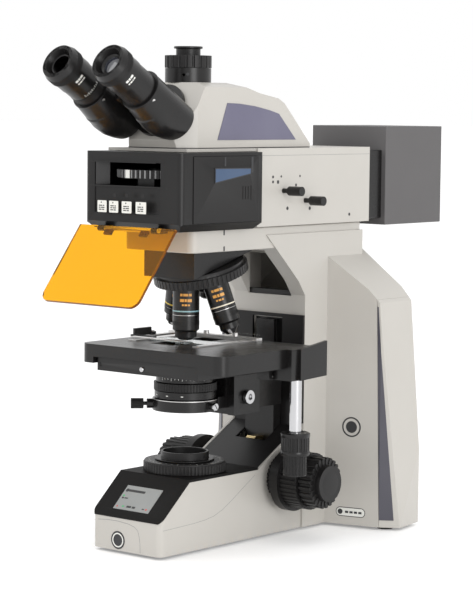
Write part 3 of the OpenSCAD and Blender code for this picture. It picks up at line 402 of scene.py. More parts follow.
def merged(name, parts, finish, body):
    """One piece from several slabs of the same finish: (outline, thickness, matrix)."""
    bm = bmesh.new()
    for outline, thick, matrix in parts:
        prism(bm, outline, thick, matrix)
    return baked(name, bm, finish, body)


def box_outline(x0, y0, x1, y1):
    return [(x0, y0), (x1, y0), (x1, y1), (x0, y1)]


def at(x, y, z):
    return Matrix.Translation(Vector((x, y, z)) * MM)


def turn(axis, degrees):
    return Matrix.Rotation(math.radians(degrees), 4, axis)


def basis(origin, right, up):
    """Frame with X to the right and Y up on a face, Z out of it."""
    right, up = Vector(right).normalized(), Vector(up).normalized()
    out = right.cross(up)
    m = Matrix((right, up, out)).transposed().to_4x4()
    return Matrix.Translation(Vector(origin) * MM) @ m


# ---------------------------------------------------------------- repeated pieces

def ring_tree():
    """Geometry nodes: boxes evenly spaced round a circle, all facing outwards."""
    tree = bpy.data.node_groups.new("ring_of_ribs", "GeometryNodeTree")
    face = tree.interface
    face.new_socket("Count", in_out="INPUT", socket_type="NodeSocketInt")
    face.new_socket("Radius", in_out="INPUT", socket_type="NodeSocketFloat")
    face.new_socket("Size", in_out="INPUT", socket_type="NodeSocketVector")
    face.new_socket("Step", in_out="INPUT", socket_type="NodeSocketFloat")
    face.new_socket("Start", in_out="INPUT", socket_type="NodeSocketFloat")
    face.new_socket("Finish", in_out="INPUT", socket_type="NodeSocketMaterial")
    face.new_socket("Geometry", in_out="OUTPUT", socket_type="NodeSocketGeometry")
    new, link = tree.nodes.new, tree.links.new
    inp, out = new("NodeGroupInput"), new("NodeGroupOutput")
    line = new("GeometryNodeMeshLine")
    link(inp.outputs["Count"], line.inputs["Count"])
    line.inputs["Offset"].default_value = (0, 0, 0)
    index = new("GeometryNodeInputIndex")
    angle = new("ShaderNodeMath")
    angle.operation = "MULTIPLY_ADD"
    link(index.outputs[0], angle.inputs[0])
    link(inp.outputs["Step"], angle.inputs[1])
    link(inp.outputs["Start"], angle.inputs[2])
    spin = new("ShaderNodeCombineXYZ")
    link(angle.outputs[0], spin.inputs[2])
    cosine, sine = new("ShaderNodeMath"), new("ShaderNodeMath")
    cosine.operation, sine.operation = "COSINE", "SINE"
    link(angle.outputs[0], cosine.inputs[0])
    link(angle.outputs[0], sine.inputs[0])
    where = new("ShaderNodeCombineXYZ")
    link(cosine.outputs[0], where.inputs[0])
    link(sine.outputs[0], where.inputs[1])
    reach = new("ShaderNodeVectorMath")
    reach.operation = "SCALE"
    link(where.outputs[0], reach.inputs[0])
    link(inp.outputs["Radius"], reach.inputs["Scale"])
    move = new("GeometryNodeSetPosition")
    link(line.outputs[0], move.inputs["Geometry"])
    link(reach.outputs[0], move.inputs["Position"])
    rib = new("GeometryNodeMeshCube")
    link(inp.outputs["Size"], rib.inputs["Size"])
    copies = new("GeometryNodeInstanceOnPoints")
    link(move.outputs[0], copies.inputs["Points"])
    link(rib.outputs["Mesh"], copies.inputs["Instance"])
    link(spin.outputs[0], copies.inputs["Rotation"])
    real = new("GeometryNodeRealizeInstances")
    link(copies.outputs[0], real.inputs[0])
    coat = new("GeometryNodeSetMaterial")
    link(real.outputs[0], coat.inputs["Geometry"])
    link(inp.outputs["Finish"], coat.inputs["Material"])
    link(coat.outputs[0], out.inputs[0])
    return tree


RING_TREE = ring_tree()


def grown(name, tree, values, matrix, finish, body):
    """Runs a geometry tree with named inputs and keeps its plain mesh as a piece."""
    seed = bpy.data.meshes.new(name + "_seed")
    work = bpy.data.objects.new(name + "_work", seed)
    bpy.context.scene.collection.objects.link(work)
    modifier = work.modifiers.new("grow", "NODES")
    modifier.node_group = tree
    values = dict(values, Finish=finish)
    for item in tree.interface.items_tree:
        if item.item_type == "SOCKET" and item.in_out == "INPUT":
            modifier[item.identifier] = values[item.name]
    depsgraph = bpy.context.evaluated_depsgraph_get()
    mesh = bpy.data.meshes.new_from_object(work.evaluated_get(depsgraph))
    work.modifiers.remove(modifier)
    bpy.data.objects.remove(work)
    mesh.transform(matrix)
    settle(mesh)
    return place(name, mesh, finish, body)


def ribs(name, count, radius, size, matrix, finish, body, arc=360.0, start=0.0):
    step = math.radians(arc) / (count if arc >= 360.0 else count - 1)
    return grown(name, RING_TREE, {
        "Count": count, "Radius": radius * MM, "Size": [s * MM for s in size],
        "Step": step, "Start": math.radians(start)}, matrix, finish, body)


# ---------------------------------------------------------------- shells

refined("base_shell", WHITE, 1.2)
refined("column_shell", WHITE, 2.4, 4)
refined("rear_cover", WHITE, 2.0, 4)
refined("upper_arm", WHITE, 1.6, 4)
refined("illuminator_box", WHITE, 1.3, 3)
refined("head_body", WHITE, 3.2, 5)
refined("base_deck", DECK, 0.9)
refined("column_liner", BLACK, 0.6)
refined("module_housing", BLACK, 1.4, 3)
refined("side_door", BLACK, 0.5)
refined("lamp_house", LAMP_GREY, 0.8, 3, flat=False)
refined("lamp_collar", ANODISED, 0.8)
refined("nosepiece_mount", ANODISED, 1.2)
refined("hub_disc", ANODISED, 0.7)
refined("photo_tube", ANODISED, 0.8)


def above(height):
    """Keeps only the separate solids above a height in mm, or below it if negative."""
    def trim(bm):
        doomed = [v for v in bm.verts if (v.co.z < abs(height) * MM) == (height > 0)]
        bmesh.ops.delete(bm, geom=doomed, context="VERTS")
    return trim


# One inlay part: the head strips keep its own violet, the column strips get the darker copy as
# painted shade.
refined("side_inlays", VIOLET, 0.2, 2, keep=above(350), tag="_head")
refined("side_inlays", SHADED_VIOLET, 0.2, 2, keep=above(-350), tag="_column")
refined("feet", RUBBER, 1.0)
refined("bottom_plate", DULL_STEEL, 0.4)
refined("power_inlet", BLACK, 0.6)
refined("power_switch", GRIP, 0.8)
refined("focus_rail", ANODISED, 0.5)
refined("focus_rack", BRASS, 0.0)
refined("coarse_shaft", STEEL, 0.0)
refined("led_module", ALUMINIUM, 0.8)
refined("lamp", FROST, 0.3)
refined("screws", STEEL, 0.3, 2)
refined("stage_carriage", ANODISED, 1.0)
refined("stage_lower_plate", ANODISED, 1.2)
refined("stage_top_plate", ANODISED, 1.6, 4)
refined("stage_tube", CHROME, 0.3)
refined("slide_holder", STEEL, 0.25, 2)
refined("slide_finger", ANODISED, 0.4, 2)
refined("glass_slide", GLASS, 0.15, 2)
refined("condenser_fork", ANODISED, 0.8)
refined("condenser_body", ANODISED, 0.7)
refined("aperture_ring", GRIP, 0.25, 2)
refined("centring_screw", GRIP, 0.3, 2)
refined("field_ring", GRIP, 0.35, 2)
refined("filter_holder", BLACK, 0.6)
refined("field_lens", FROST, 0.8)
refined("tension_ring", GRIP, 0.4, 2)
refined("coarse_knobs", BLACK, 0.9)
refined("fine_knobs", BLACK, 0.8)
refined("stage_y_knob", ANODISED, 0.6)
refined("stage_x_knob", ANODISED, 0.6)
refined("turret", ANODISED, 0.4, 2)
refined("filter_wheel", ANODISED, 0.3, 2)
refined("bracket_screw", CHROME, 0.6)
refined("photo_clamp_ring", GRIP, 0.5)
refined("photo_cap", BLACK, 0.7)
refined("left_carrier", ANODISED, 1.2)
refined("right_carrier", ANODISED, 1.2)
refined("diopter_ring", GRIP, 0.25, 2)
refined("slider_rod_front", ANODISED, 0.6)
refined("slider_rod_rear", ANODISED, 0.6)
refined("left_eyepiece", ANODISED, 0.6)
refined("right_eyepiece", ANODISED, 0.6)
refined("display_screen", SCREEN, 0.3, 2)
refined("objectives", ANODISED, 0.5)


# ---------------------------------------------------------------- head and eyepieces

HUB = at(0, -40.3, 447.3) @ turn("X", 60)
TUBE_REACH, TUBE_RISE = 37.2, 70.8
TUBES = {side: HUB @ turn("Z", degrees) @ at(TUBE_REACH, 0, TUBE_RISE)
         for side, degrees in (("right", -26.15), ("left", 206.15))}


def face_out(matrix, radius, degrees, height):
    """A frame on a round wall, X along the wall, Y up its axis, Z outwards."""
    a = math.radians(degrees)
    spot = Vector((radius * math.cos(a), radius * math.sin(a), height))
    return matrix @ basis(spot, (-math.sin(a), math.cos(a), 0), (0, 0, 1))


def dashes(matrix, radius, degrees, height, widths, tall, thick=0.12, gap=0.7):
    """Small printed blocks along a round wall, in place of lettering."""
    run = sum(widths) + gap * (len(widths) - 1)
    parts = []
    here = -run / 2
    for w in widths:
        middle = degrees + math.degrees((here + w / 2) / radius)
        parts.append((box_outline(-w / 2, -tall / 2, w / 2, tall / 2), thick,
                      face_out(matrix, radius - 0.03, middle, height)))
        here += w + gap
    return parts


for side, tube in TUBES.items():
    body = side + "_tube"
    facing = 0.4 if side == "right" else 128.0
    lathe(side + "_eye_lens", [(0, 45.2), (10.6, 45.2), (10.6, 45.9), (8.0, 46.9), (4.0, 47.5),
                               (0, 47.7)], tube, LENS, body, "glass", 64)
    lathe(side + "_lens_cell", [(8.6, 46.0), (11.3, 46.0), (11.9, 47.8), (11.0, 48.6),
                                (9.4, 47.8), (8.6, 46.9), (8.6, 46.0)], tube, ANODISED, body,
          "metal_black", 64)
    lathe(side + "_cup_lip", [(14.3, 53.7), (18.3, 53.7), (18.0, 54.0), (14.6, 54.0),
                              (14.3, 53.7)], tube, RUBBER, body, "rubber", 64)
    ribs(side + "_cup_ribs", 72, 19.95, (0.9, 0.9, 8.0), tube @ at(0, 0, 43.4), RUBBER, body)
    lathe(side + "_cup_groove", [(19.1, 38.7), (19.45, 38.9), (19.45, 39.2), (19.1, 39.4),
                                 (18.8, 39.0), (19.1, 38.7)], tube, ANODISED, body,
          "metal_black", 64)
    words = dashes(tube, 19.2, facing, 34.0, (3.0, 2.0, 3.6), 2.4)
    words += dashes(tube, 19.2, facing, 30.2, (1.6, 2.6, 1.2, 2.0), 1.5)
    merged(side + "_eyepiece_marks", words, LABEL, body)
ticks = []
for k in range(-4, 5):
    ticks.append((box_outline(-0.22, 0, 0.22, 3.0 if k % 2 == 0 else 1.8), 0.12,
                  face_out(TUBES["left"], 18.57, 128.0 + 7 * k, 11.2)))
merged("diopter_scale", ticks, LABEL, "left_tube")


def wrapped(name, circles, matrix, finish, body):
    """A convex shell round a stack of circles: (x, y, z, radius) in mm."""
    bm = bmesh.new()
    for x, y, z, r in circles:
        for px, py in disc(r, x, y, 56):
            bm.verts.new((px * MM, py * MM, z * MM))
    hull = bmesh.ops.convex_hull(bm, input=bm.verts)
    loose = [g for g in hull["geom_interior"] if isinstance(g, bmesh.types.BMVert)]
    bmesh.ops.delete(bm, geom=loose, context="VERTS")
    bmesh.ops.dissolve_limit(bm, angle_limit=math.radians(0.5), verts=bm.verts, edges=bm.edges)
    return baked(name, bm, finish, body, matrix, crisp=40.0)


for side, tube in TUBES.items():
    down = math.radians(-63.85 if side == "right" else 63.85)
    stack = [(0, -0.3, 21.25), (0, -7.0, 21.25), (3.6, -16.0, 20.4), (7.6, -32.0, 19.6),
             (8.2, -44.0, 18.6), (4.0, -56.0, 19.4), (0, -64.0, 20.1)]
    wrapped(side + "_prism_shell", [(o * math.cos(down), o * math.sin(down), z, r)
                                    for o, z, r in stack], tube, ANODISED, side + "_tube")
    lathe(side + "_carrier_ring", [(20.9, -1.6), (21.75, -1.3), (21.75, -0.4), (21.3, 0.1),
                                   (20.4, 0.1), (20.9, -1.6)], tube, ANODISED, side + "_tube",
          "metal_black", 72)

CARRIER_SCREW_HEIGHT = 66.5
for side, degrees in (("right", 0), ("left", 128)):
    spot = TUBES[side] @ at(0, 0, CARRIER_SCREW_HEIGHT - TUBE_RISE)
    merged(side + "_carrier_screws",
           [(disc(1.5, steps=20), 0.25, face_out(spot, 21.2, degrees, 0))],
           STEEL, side + "_tube")

port_screws = [(disc(1.6, steps=24), 0.25, face_out(at(0, 0, 0), 23.85, degrees, 485.2))
               for degrees in (-50, 70, 190)]
merged("camera_port_screws", port_screws, INK, "stand")
head_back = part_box("head_body")[1].y * 1000 - 1.0
# A thin black sheet round the foot of the head: painted shade for the shadow gap between head and
# box.
shadow_gap_outline = [(45.15, -36.2), (31.95, -54.7), (-31.95, -54.7), (-45.15, -36.2),
          (-45.15, head_back), (45.15, head_back)]
slab("head_painted_shadow_gap", shadow_gap_outline, 0.9, at(0, 0, 410.55), INK, "stand")


# ---------------------------------------------------------------- shield

HINGE = at(0, -88, 329.2) @ turn("X", -38.3)
plate_face = HINGE @ basis((0, -1.5, 0), (1, 0, 0), (0, 0, 1))
PLATE_HALF, PLATE_TOP, PLATE_DROP, PLATE_CORNER = 64.8, 0.8, 83, 10
outline = [(-PLATE_HALF, PLATE_TOP), (-PLATE_HALF, -PLATE_DROP)]
for side, angles in ((-1, range(10, 91, 10)), (1, range(90, -1, -10))):
    for a in map(math.radians, angles):
        outline.append((side * (PLATE_HALF - PLATE_CORNER + PLATE_CORNER * math.cos(a)),
                        -PLATE_DROP - PLATE_CORNER * math.sin(a)))
outline.append((PLATE_HALF, PLATE_TOP))
slab("shield_plate", outline, 3.0, plate_face, AMBER, "shield", 0.35,
     stands_for=("amber_shield",))
merged("shield_hinges", [(box_outline(x - 5, -8.0, x + 5, 0.5), 2.35, HINGE @ basis(
    (0, 0.9, 0), (1, 0, 0), (0, 0, 1))) for x in (-24, 24)], ANODISED, "shield")
lathe("shield_pin", [(0, -41), (2.3, -41), (2.5, -40.6), (2.5, 40.6), (2.3, 41), (0, 41)],
      HINGE @ turn("Y", 90), STEEL, "shield", "steel", 32)

# ---------------------------------------------------------------- filter module

module_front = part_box("module_housing")[0].y * 1000
door_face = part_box("side_door")[1].x * 1000
labels, print_lines = [], []
for x0, x1 in ((-40.9, -28.6), (-25.0, -12.7), (-7.8, 5.2), (11.0, 24.8)):
    plate = basis((0, module_front + 1.02, 0), (1, 0, 0), (0, 0, 1))
    labels.append((rounded(x0, 345.8, x1, 357.6, 0.8, 3), 0.35, plate))
    mid = (x0 + x1) / 2
    ink = basis((0, module_front + 0.68, 0), (1, 0, 0), (0, 0, 1))
    print_lines.append((disc(0.8, mid - 1.0, 355.7, 16), 0.06, ink))
    for row, widths in enumerate(((3.2, 2.4), (2.0, 3.8), (4.0, 1.6))):
        here = mid - 4.4
        for w in widths:
            print_lines.append((box_outline(here, 348.0 + row * 2.0, here + w * 1.2,
                                            349.1 + row * 2.0), 0.06, ink))
            here += w * 1.2 + 0.8
merged("filter_labels", labels, LABEL, "stand")
merged("filter_label_print", print_lines, INK, "stand")

marks = []
for x in (-17.6, -1.3, 20.3):
    plate = basis((0, module_front + 1.02, 0), (1, 0, 0), (0, 0, 1))
    marks.append((rounded(x - 2.2, 361.6, x + 2.2, 365.4, 1.6, 4), 0.3, plate))
merged("filter_keys", marks, GRIP, "stand")

cheek = basis((0, module_front + 0.25, 0), (1, 0, 0), (0, 0, 1))
frame_parts = [(box_outline(-51.0, 396.3, 38.0, 396.9), 0.2, cheek),
               (box_outline(-51.0, 372.5, 38.0, 373.2), 0.2, cheek)]
merged("window_edge", frame_parts, ANODISED, "stand")
slab("window_cheek", [(0, 0), (14.5, 0), (14.5, 23.0), (0, 23.0)], 0.8,
     at(-50.8, -82.8, 373.3) @ turn("Z", 52) @ turn("X", 90), BLACK, "stand")

WHEEL = at(0, -26, 384.6)
ribs("wheel_teeth", 60, 54.0, (0.9, 1.6, 7.9), WHEEL, GREY_TOP, "filter_carousel",
     360.0, 1.5)
ribs("wheel_index", 3, 54.0, (1.9, 2.3, 8.2), WHEEL, LABEL, "filter_carousel",
     4.2, -102.8)

wedge = [(-34.3, 376.2), (22.3, 384.7), (22.3, 391.3), (-34.3, 391.8)]
slab("door_wedge_edge", wedge, 0.14, basis((door_face - 0.12, 0, 0), (0, 1, 0), (0, 0, 1)),
     INK, "door")
slab("door_wedge", [(-33.4, 377.4), (21.4, 385.6), (21.4, 390.4), (-33.4, 390.9)], 0.3,
     basis((door_face - 0.1, 0, 0), (0, 1, 0), (0, 0, 1)), BLUE, "door", 0.1)
plate = basis((door_face - 0.82, 0, 0), (0, 1, 0), (0, 0, 1))
arrow = [(box_outline(10.5 + 4.2 * k, 359.5, 13.0 + 4.2 * k, 372.5), 0.35, plate)
         for k in range(3)]
arrow.append(([(23.4, 358.6), (30.0, 366.0), (23.4, 373.4)], 0.35, plate))
merged("door_arrow", arrow, GRIP, "door")
latches = [(box_outline(-19.2, 393.5, -16.6, 402.5), 0.3, plate),
           (box_outline(23.2, 386.5, 26.6, 402.5), 0.3, plate)]
merged("door_latches", latches, INK, "door")

# ---------------------------------------------------------------- illuminator box and arm

box_side = basis((54.98, 0, 0), (0, 1, 0), (0, 0, 1))
MARK = 0.12
specks = [disc(1.9, 97.0, 347.5, 24), disc(1.9, 135.0, 346.5, 24), disc(1.7, 205.0, 338.0, 24),
          disc(1.5, 72.4, 375.5, 20), disc(1.5, 72.3, 380.7, 20),
          box_outline(79.0, 373.6, 82.4, 377.0), box_outline(109.6, 370.2, 112.4, 373.0),
          disc(1.2, 117.6, 380.9, 20), disc(1.2, 86.0, 381.0, 20)]
merged("box_side_marks", [(speck, MARK, box_side) for speck in specks], INK, "stand")
seams = [(box_outline(47.5, 402.8, 240.5, 403.15), 0.05, box_side),
         (box_outline(47.5, 402.8, 240.5, 403.15), 0.05,
          basis((-54.98, 0, 0), (0, -1, 0), (0, 0, 1)) @ at(-288.0, 0, 0))]
merged("box_seam", seams, GREY_TOP, "stand")
arm_side = basis((47.48, 0, 0), (0, 1, 0), (0, 0, 1))
notches = [(rounded(2.2, 322.4, 4.4, 328.2, 0.6, 3), 0.1, arm_side),
           (rounded(2.4, 306.2, 4.6, 311.2, 0.6, 3), 0.1, arm_side)]
merged("arm_notches", notches, INK, "stand")

# ---------------------------------------------------------------- base and column marks

front = basis((0, -89.98, 0), (1, 0, 0), (0, 0, 1))


slab("base_badge", disc(9.2, -10.5, 13.9, 56), 0.35, front, INK, "stand", 0.12)
lathe("base_badge_ring", [(6.1, 0.3), (7.5, 0.3), (7.4, 0.48), (6.2, 0.48), (6.1, 0.3)],
      front @ at(-10.5, 13.9, 0), LABEL, "stand", "paint_white", 56)

def line_strip(points, width):
    """Thin quads along a polyline, as outlines."""
    outlines = []
    for (xa, ya), (xb, yb) in zip(points, points[1:]):
        length = math.hypot(xb - xa, yb - ya) or 1.0
        nx, ny = -(yb - ya) / length * width / 2, (xb - xa) / length * width / 2
        outlines.append([(xa + nx, ya + ny), (xa - nx, ya - ny), (xb - nx, yb - ny),
                         (xb + nx, yb + ny)])
    return outlines


# Grey lines painted along the folds of the base: painted shade at the creases.
arch = [(-38.0, 32.0), (-25.0, 33.2), (-10.6, 33.4), (3.0, 32.2), (12.0, 30.0), (16.5, 26.5),
        (18.6, 20.0), (19.6, 12.9), (19.9, 4.2)]
merged("base_front_painted_crease_shade", [(o, 0.05, front) for o in line_strip(arch, 0.5)], GREY_TOP, "stand")
base_right = basis((46.98, 0, 0), (0, 1, 0), (0, 0, 1))
crease = [(-86.0, 30.0), (-40.0, 31.2), (-22.0, 32.4), (-8.0, 34.5), (6.0, 39.5), (22.0, 48.0),
          (43.0, 60.5), (58.0, 69.0)]
base_left = basis((-46.98, 0, 0), (0, -1, 0), (0, 0, 1))
creases = [(o, 0.05, base_right) for o in line_strip(crease, 0.4)]
creases += [(o, 0.05, base_left) for o in line_strip([(-y, z) for y, z in crease], 0.4)]
merged("base_side_painted_crease_shade", creases, GREY_TOP, "stand")

WING = basis((78.7, 183.2, 0), (0.972, 0.235, 0), (0, 0, 1))
lathe("wing_emblem_ring", [(9.3, 0), (10.9, 0), (10.8, 0.3), (9.4, 0.3), (9.3, 0)],
      WING @ at(0, 109.8, 0.0), INK, "stand", "plastic_black", 64)
slab("wing_emblem", disc(6.4, 0, 109.8, 48), 0.2, WING, INK, "stand", 0.08)
pill = rounded(-16.8, 11.8, 17.6, 22.0, 5.0, 8)
inner = rounded(-16.0, 12.6, 16.8, 21.2, 4.2, 8)
slab("wing_pill_edge", pill, 0.16, WING, INK, "stand")
slab("wing_pill", inner, 0.24, WING, LABEL, "stand")
slab("wing_pill_dot", disc(2.9, -11.8, 16.9, 32), 0.34, WING, INK, "stand")
pill_bars = [(box_outline(-6.0 + 5.2 * k, 15.6, -2.2 + 5.2 * k, 18.0), 0.3, WING)
             for k in range(4)]
merged("wing_pill_bars", pill_bars, INK, "stand")

# ---------------------------------------------------------------- display

SLOPE = at(0, -69, 57) @ turn("X", math.degrees(math.atan2(40.0, 44.0))) @ at(0, -3.7, 0.42)
merged("display_header", [(rounded(-18, 7.6, 4, 10.4, 0.6, 3), 0.1, SLOPE),
                          (disc(2.1, -20.0, 9.0, 28), 0.12, SLOPE)], INK, "stand")
merged("display_marks", [(box_outline(-21.0, -2.0, -18.8, 0.0), 0.1, SLOPE),
                         (box_outline(-17.6, -1.7, -13.0, -0.3), 0.1, SLOPE),
                         (box_outline(-8.0, -12.4, -2.0, -10.0), 0.1, SLOPE),
                         (box_outline(-0.5, -12.4, 3.5, -10.0), 0.1, SLOPE),
                         (box_outline(13.0, -12.0, 16.0, -10.8), 0.1, SLOPE)],
       INK, "stand")
merged("display_green", [(disc(1.1, -20.4, 1.8, 20), 0.12, SLOPE),
                         (box_outline(-14.0, -12.2, -11.4, -10.6), 0.12, SLOPE)], GREEN, "stand")
merged("display_red", [(disc(1.1, 18.6, -11.4, 20), 0.12, SLOPE),
                       (disc(0.9, -20.2, -12.2, 20), 0.12, SLOPE)], RED, "stand")

# ---------------------------------------------------------------- nosepiece and objectives

TURRET = at(0, 23.647, 278) @ turn("X", 16)


def seat(k):
    return TURRET @ turn("Z", 72 * k) @ at(0, -24.6, 0) @ turn("X", -16)


# seat on the nosepiece, barrel radius, barrel length, colour band
BARRELS = ((0, 13.8, 48, PALE_BLUE), (1, 13.2, 46, CREAM), (4, 13.0, 40, YELLOW),
           (3, 12.5, 22, None))
for k, barrel, length, band in BARRELS:
    place_at = seat(k)
    toward = -50 - 72 * k
    tag = "objective_%d_" % (k + 1)
    lathe(tag + "top_groove", [(barrel - 0.1, -3.2), (barrel + 0.12, -3.2), (barrel + 0.12, -3.9),
                               (barrel - 0.1, -3.9), (barrel - 0.1, -3.2)], place_at, CHROME,
          "nosepiece", "chrome", 64)
    if band is None:
        continue
    for where in (toward, toward + 180):
        rows = dashes(place_at, barrel, where, -11.5, (2.6, 5.2, 3.0), 2.6)
        rows += dashes(place_at, barrel, where, -17.2, (4.2, 2.2, 4.6), 3.0)
        rows += dashes(place_at, barrel, where, -22.0, (2.0, 3.0, 1.8), 1.8)
        merged(tag + ("front" if where == toward else "rear") + "_print", rows, GOLD,
               "nosepiece")
    for low, high, finish, slot in ((-29.2, -27.9, band, "brass"), (-33.0, -32.6, STEEL, "steel")):
        lathe(tag + "band%d" % abs(int(low)), [(barrel - 0.1, low), (barrel + 0.1, low),
                                               (barrel + 0.1, high), (barrel - 0.1, high),
                                               (barrel - 0.1, low)], place_at, finish,
              "nosepiece", slot, 64)
    ribs(tag + "knurl", 72, barrel, (0.3, 0.55, 4.2), place_at @ at(0, 0, -41.0 + (48 - length)),
         ANODISED, "nosepiece")
# seat on the nosepiece, overall length, tip radius, nose's upper end and its radius
NOSES = ((0, 58.8, 6.5, 56, 10.7), (1, 59.2, 4.5, 54, 9.4), (4, 53.0, 8.0, 49, 9.9))
for k, total, tip, top, wide in NOSES:
    low, high = -total + 0.6, -top + (total - top) * 0.15
    grow = (wide - tip) / (total - top)
    r0 = tip + grow * 0.6 + 0.06
    r1 = tip + grow * (total + high) + 0.06
    lathe("objective_%d_nose" % (k + 1), [(r0 - 0.5, low), (r0, low), (r1, high),
                                          (r1 - 0.5, high), (r0 - 0.5, low)], seat(k), CHROME,
          "nosepiece", "chrome", 64)
    lathe("objective_%d_front_lens" % (k + 1), [(0, -total - 0.05), (tip * 0.45, -total - 0.05),
                                                (tip * 0.45, -total + 0.02),
                                                (0, -total + 0.02)], seat(k), LENS, "nosepiece",
          "glass", 32)

# ---------------------------------------------------------------- stage and condenser

stage_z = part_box("stage_top_plate")[1].z * 1000
top = basis((0, 0, stage_z - 0.02), (1, 0, 0), (0, 1, 0))
edge_line = [(-63.0, -52.0), (-63.0, -75.0), (102.0, -75.0), (104.5, -72.5), (104.5, 12.0)]
merged("stage_inset_line", [(o, 0.06, top) for o in line_strip(edge_line, 0.5)], GREY_TOP,
       "stage")
slab("stage_front_strip", box_outline(-36.0, -46.0, 36.0, -38.6), 0.5, top, STEEL, "stage",
     0.1)
scale = [(box_outline(-50.0 + 2.5 * k, 61.2, -49.7 + 2.5 * k, 62.6 + (1.2 if k % 4 == 0 else 0)),
          0.05, top) for k in range(40)]
merged("stage_scale", scale, LABEL, "stage")
lathe("stage_front_screw", [(0, 0), (2.6, 0), (2.6, 1.0), (2.2, 1.5), (0, 1.6)],
      basis((11.6, -79.95, 189.0), (1, 0, 0), (0, 0, 1)), CHROME, "lift", "chrome", 32)
lathe("slot_rim", [(15.4, 0.02), (16.2, 0.02), (16.2, 0.3), (15.4, 0.3), (15.4, 0.02)],
      at(0, 0, 188.0), STEEL, "condenser", "steel", 48)

marks = []
for k in range(14):
    tall = 3.4 if k % 3 == 0 else 1.6
    marks.append((box_outline(-0.2, -tall / 2, 0.2, tall / 2), 0.14,
                  face_out(at(0, 0, 0), 30.45, -100 + 7.5 * k, 174.0)))
for k in (0, 4, 8):
    marks.append((box_outline(-1.2, -0.5, 1.2, 0.5), 0.14,
                  face_out(at(0, 0, 0), 31.95, -115 + 7.5 * k, 156.6)))
merged("condenser_scale", marks, LABEL, "condenser")
lathe("condenser_bright_ring", [(33.9, 151.0), (34.25, 151.2), (34.25, 151.9), (33.5, 152.0),
                                (33.5, 151.0), (33.9, 151.0)], at(0, 0, 0), STEEL, "condenser",
      "steel", 72)
lathe("condenser_lens", [(0, 145.2), (17.6, 145.2), (17.6, 146.2), (10.0, 145.9), (0, 145.6)],
      at(0, 0, 0), LENS, "condenser", "glass", 48)
lathe("condenser_top_lens", [(0, 208.3), (7.5, 208.3), (7.5, 208.62), (0, 208.7)], at(0, 0, 0),
      LENS, "condenser", "glass", 48)
lathe("fork_screw", [(0, 0), (4.2, 0), (4.2, 1.6), (3.6, 2.2), (0, 2.3)],
      at(39.9, 0, 146.0) @ turn("Y", 90), CHROME, "condenser", "chrome", 32)
slab("fork_screw_slot", box_outline(-3.0, -0.5, 3.0, 0.5), 0.1,
     at(42.15, 0, 146.0) @ turn("Y", 90) @ turn("Z", 35), INK, "condenser")

# ---------------------------------------------------------------- field lens ring, knobs

field = []
for k in range(36):
    a = k * 10
    tall = 3.6 if k % 3 == 0 else 1.8
    spot = at(0, 0, 87.52) @ turn("Z", a) @ at(36.0, 0, 0)
    field.append((box_outline(0, -0.22, tall, 0.22), 0.05, spot))
merged("field_scale", field, LABEL, "field_iris")
lathe("field_lens_rim", [(25.2, 85.3), (26.8, 85.3), (26.6, 85.75), (25.4, 85.75),
                         (25.2, 85.3)], at(0, 0, 0), STEEL, "stand", "steel", 64)

for tag, way in (("left_", -1), ("right_", 1)):
    hub = at(0, 102, 62) @ turn("Y", 90 * way)
    lathe(tag + "fine_cap", [(0, 113.05), (13.0, 113.05), (17.6, 112.4), (18.6, 111.4),
                             (18.6, 111.0), (0, 111.0)], hub, BLACK, "fine", "plastic_black", 64)
    ribs(tag + "fine_lobes", 24, 22.2, (5.4, 1.5, 1.1), hub @ at(0, 0, 106.7), GRIP, "fine")

DRIVE = at(115, 39, 0)
lathe("y_knob_cap", [(12.6, 122.7), (14.2, 122.7), (14.4, 123.1), (13.4, 123.5), (12.6, 123.4),
                     (12.6, 122.7)], DRIVE, ANODISED, "y_knob", "grip_black", 48)
lathe("y_knob_skirt", [(12.0, 100.2), (14.7, 100.2), (15.2, 101.2), (15.2, 104.0), (14.5, 105.2),
                       (12.0, 105.2), (12.0, 100.2)], DRIVE, ANODISED, "y_knob",
      "grip_black", 48)
lathe("y_knob_crown", [(12.0, 118.6), (14.7, 118.6), (15.1, 119.4), (15.1, 122.4), (14.4, 123.1),
                       (12.0, 123.1), (12.0, 118.6)], DRIVE, ANODISED, "y_knob",
      "grip_black", 48)
lathe("x_knob_cap", [(10.6, 79.1), (12.0, 79.3), (12.0, 80.5), (10.6, 80.6), (10.6, 79.1)],
      DRIVE, ANODISED, "x_knob", "grip_black", 48)


# ---------------------------------------------------------------- camera, light, floor

def table_finish():
    """Matt white floor, with a faint glow of its own so that it stays bright."""
    f = Finish("pale_table")
    broad = f.noise(1.5, 2.0, 0.5)
    base = f.blend(broad, rgba((0.86, 0.86, 0.86)), rgba((0.9, 0.9, 0.9)))
    return f.shade(base_color=base, roughness=0.6, specular_ior_level=0.1,
                   emission_color=(1.0, 1.0, 1.0, 1.0), emission_strength=0.22)


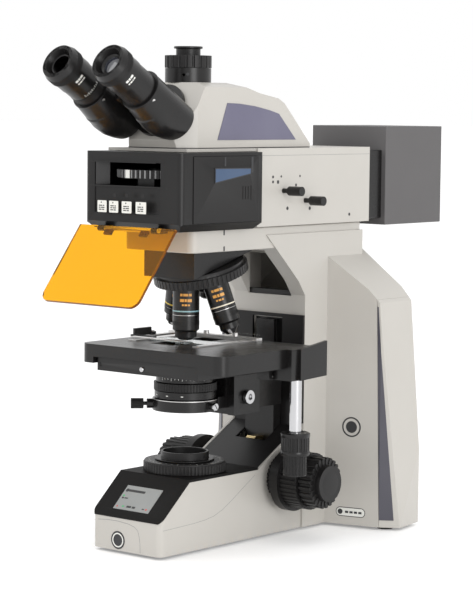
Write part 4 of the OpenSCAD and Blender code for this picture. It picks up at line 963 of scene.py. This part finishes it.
FLOOR_HALF, FLOOR_DROP = 40.0, 0.0002
SENSOR_MM, LENS_MM = 36.0, 133.58
CAMERA_PLACE = (1.502206, -1.729438, 0.455810)
CAMERA_AXES = ((0.76900564, 0.6391514, 0.01076169),
               (-0.06434549, 0.06064683, 0.99608314),
               (0.63599527, -0.76668602, 0.08776427))


def studio():
    """A wide floor, a white world, three soft boxes and the camera."""
    floor_mesh = bpy.data.meshes.new("floor")
    bm = bmesh.new()
    bmesh.ops.create_grid(bm, x_segments=1, y_segments=1, size=FLOOR_HALF)
    bm.to_mesh(floor_mesh)
    bm.free()
    floor_mesh.transform(Matrix.Translation((0, 0, -FLOOR_DROP)))
    floor = bpy.data.objects.new("floor", floor_mesh)
    bpy.context.scene.collection.objects.link(floor)
    floor_mesh.materials.append(table_finish())

    world = bpy.data.worlds.new("studio")
    bpy.context.scene.world = world
    world.use_nodes = True
    world.node_tree.nodes["Background"].inputs[0].default_value = (1.0, 1.0, 1.0, 1.0)
    world.node_tree.nodes["Background"].inputs[1].default_value = 1.0
    bpy.context.scene.view_settings.view_transform = "Standard"

    def soft_box(name, where, target, size, power):
        light = bpy.data.lights.new(name, "AREA")
        light.shape = "RECTANGLE"
        light.size, light.size_y = size
        light.energy = power
        lamp = bpy.data.objects.new(name, light)
        lamp.location = where
        lamp.rotation_mode = "QUATERNION"
        lamp.rotation_quaternion = (Vector(target) - Vector(where)).to_track_quat("-Z", "Y")
        bpy.context.scene.collection.objects.link(lamp)

    soft_box("key", (-0.9, -1.5, 1.7), (0, 0, 0.25), (1.2, 1.2), 9)
    soft_box("side", (1.9, -0.7, 0.6), (0.05, 0.15, 0.2), (0.9, 1.1), 15)
    soft_box("top", (0.1, 0.4, 2.0), (0, 0.1, 0.3), (1.4, 1.4), 5)

    cam = bpy.data.cameras.new("view")
    cam.sensor_width = SENSOR_MM
    cam.lens = LENS_MM
    camera = bpy.data.objects.new("view", cam)
    m = Matrix(CAMERA_AXES).transposed().to_4x4()
    m.translation = CAMERA_PLACE
    camera.matrix_world = m
    bpy.context.scene.collection.objects.link(camera)
    cam.clip_start, cam.clip_end = 0.05, 50
    bpy.context.scene.camera = camera


studio()
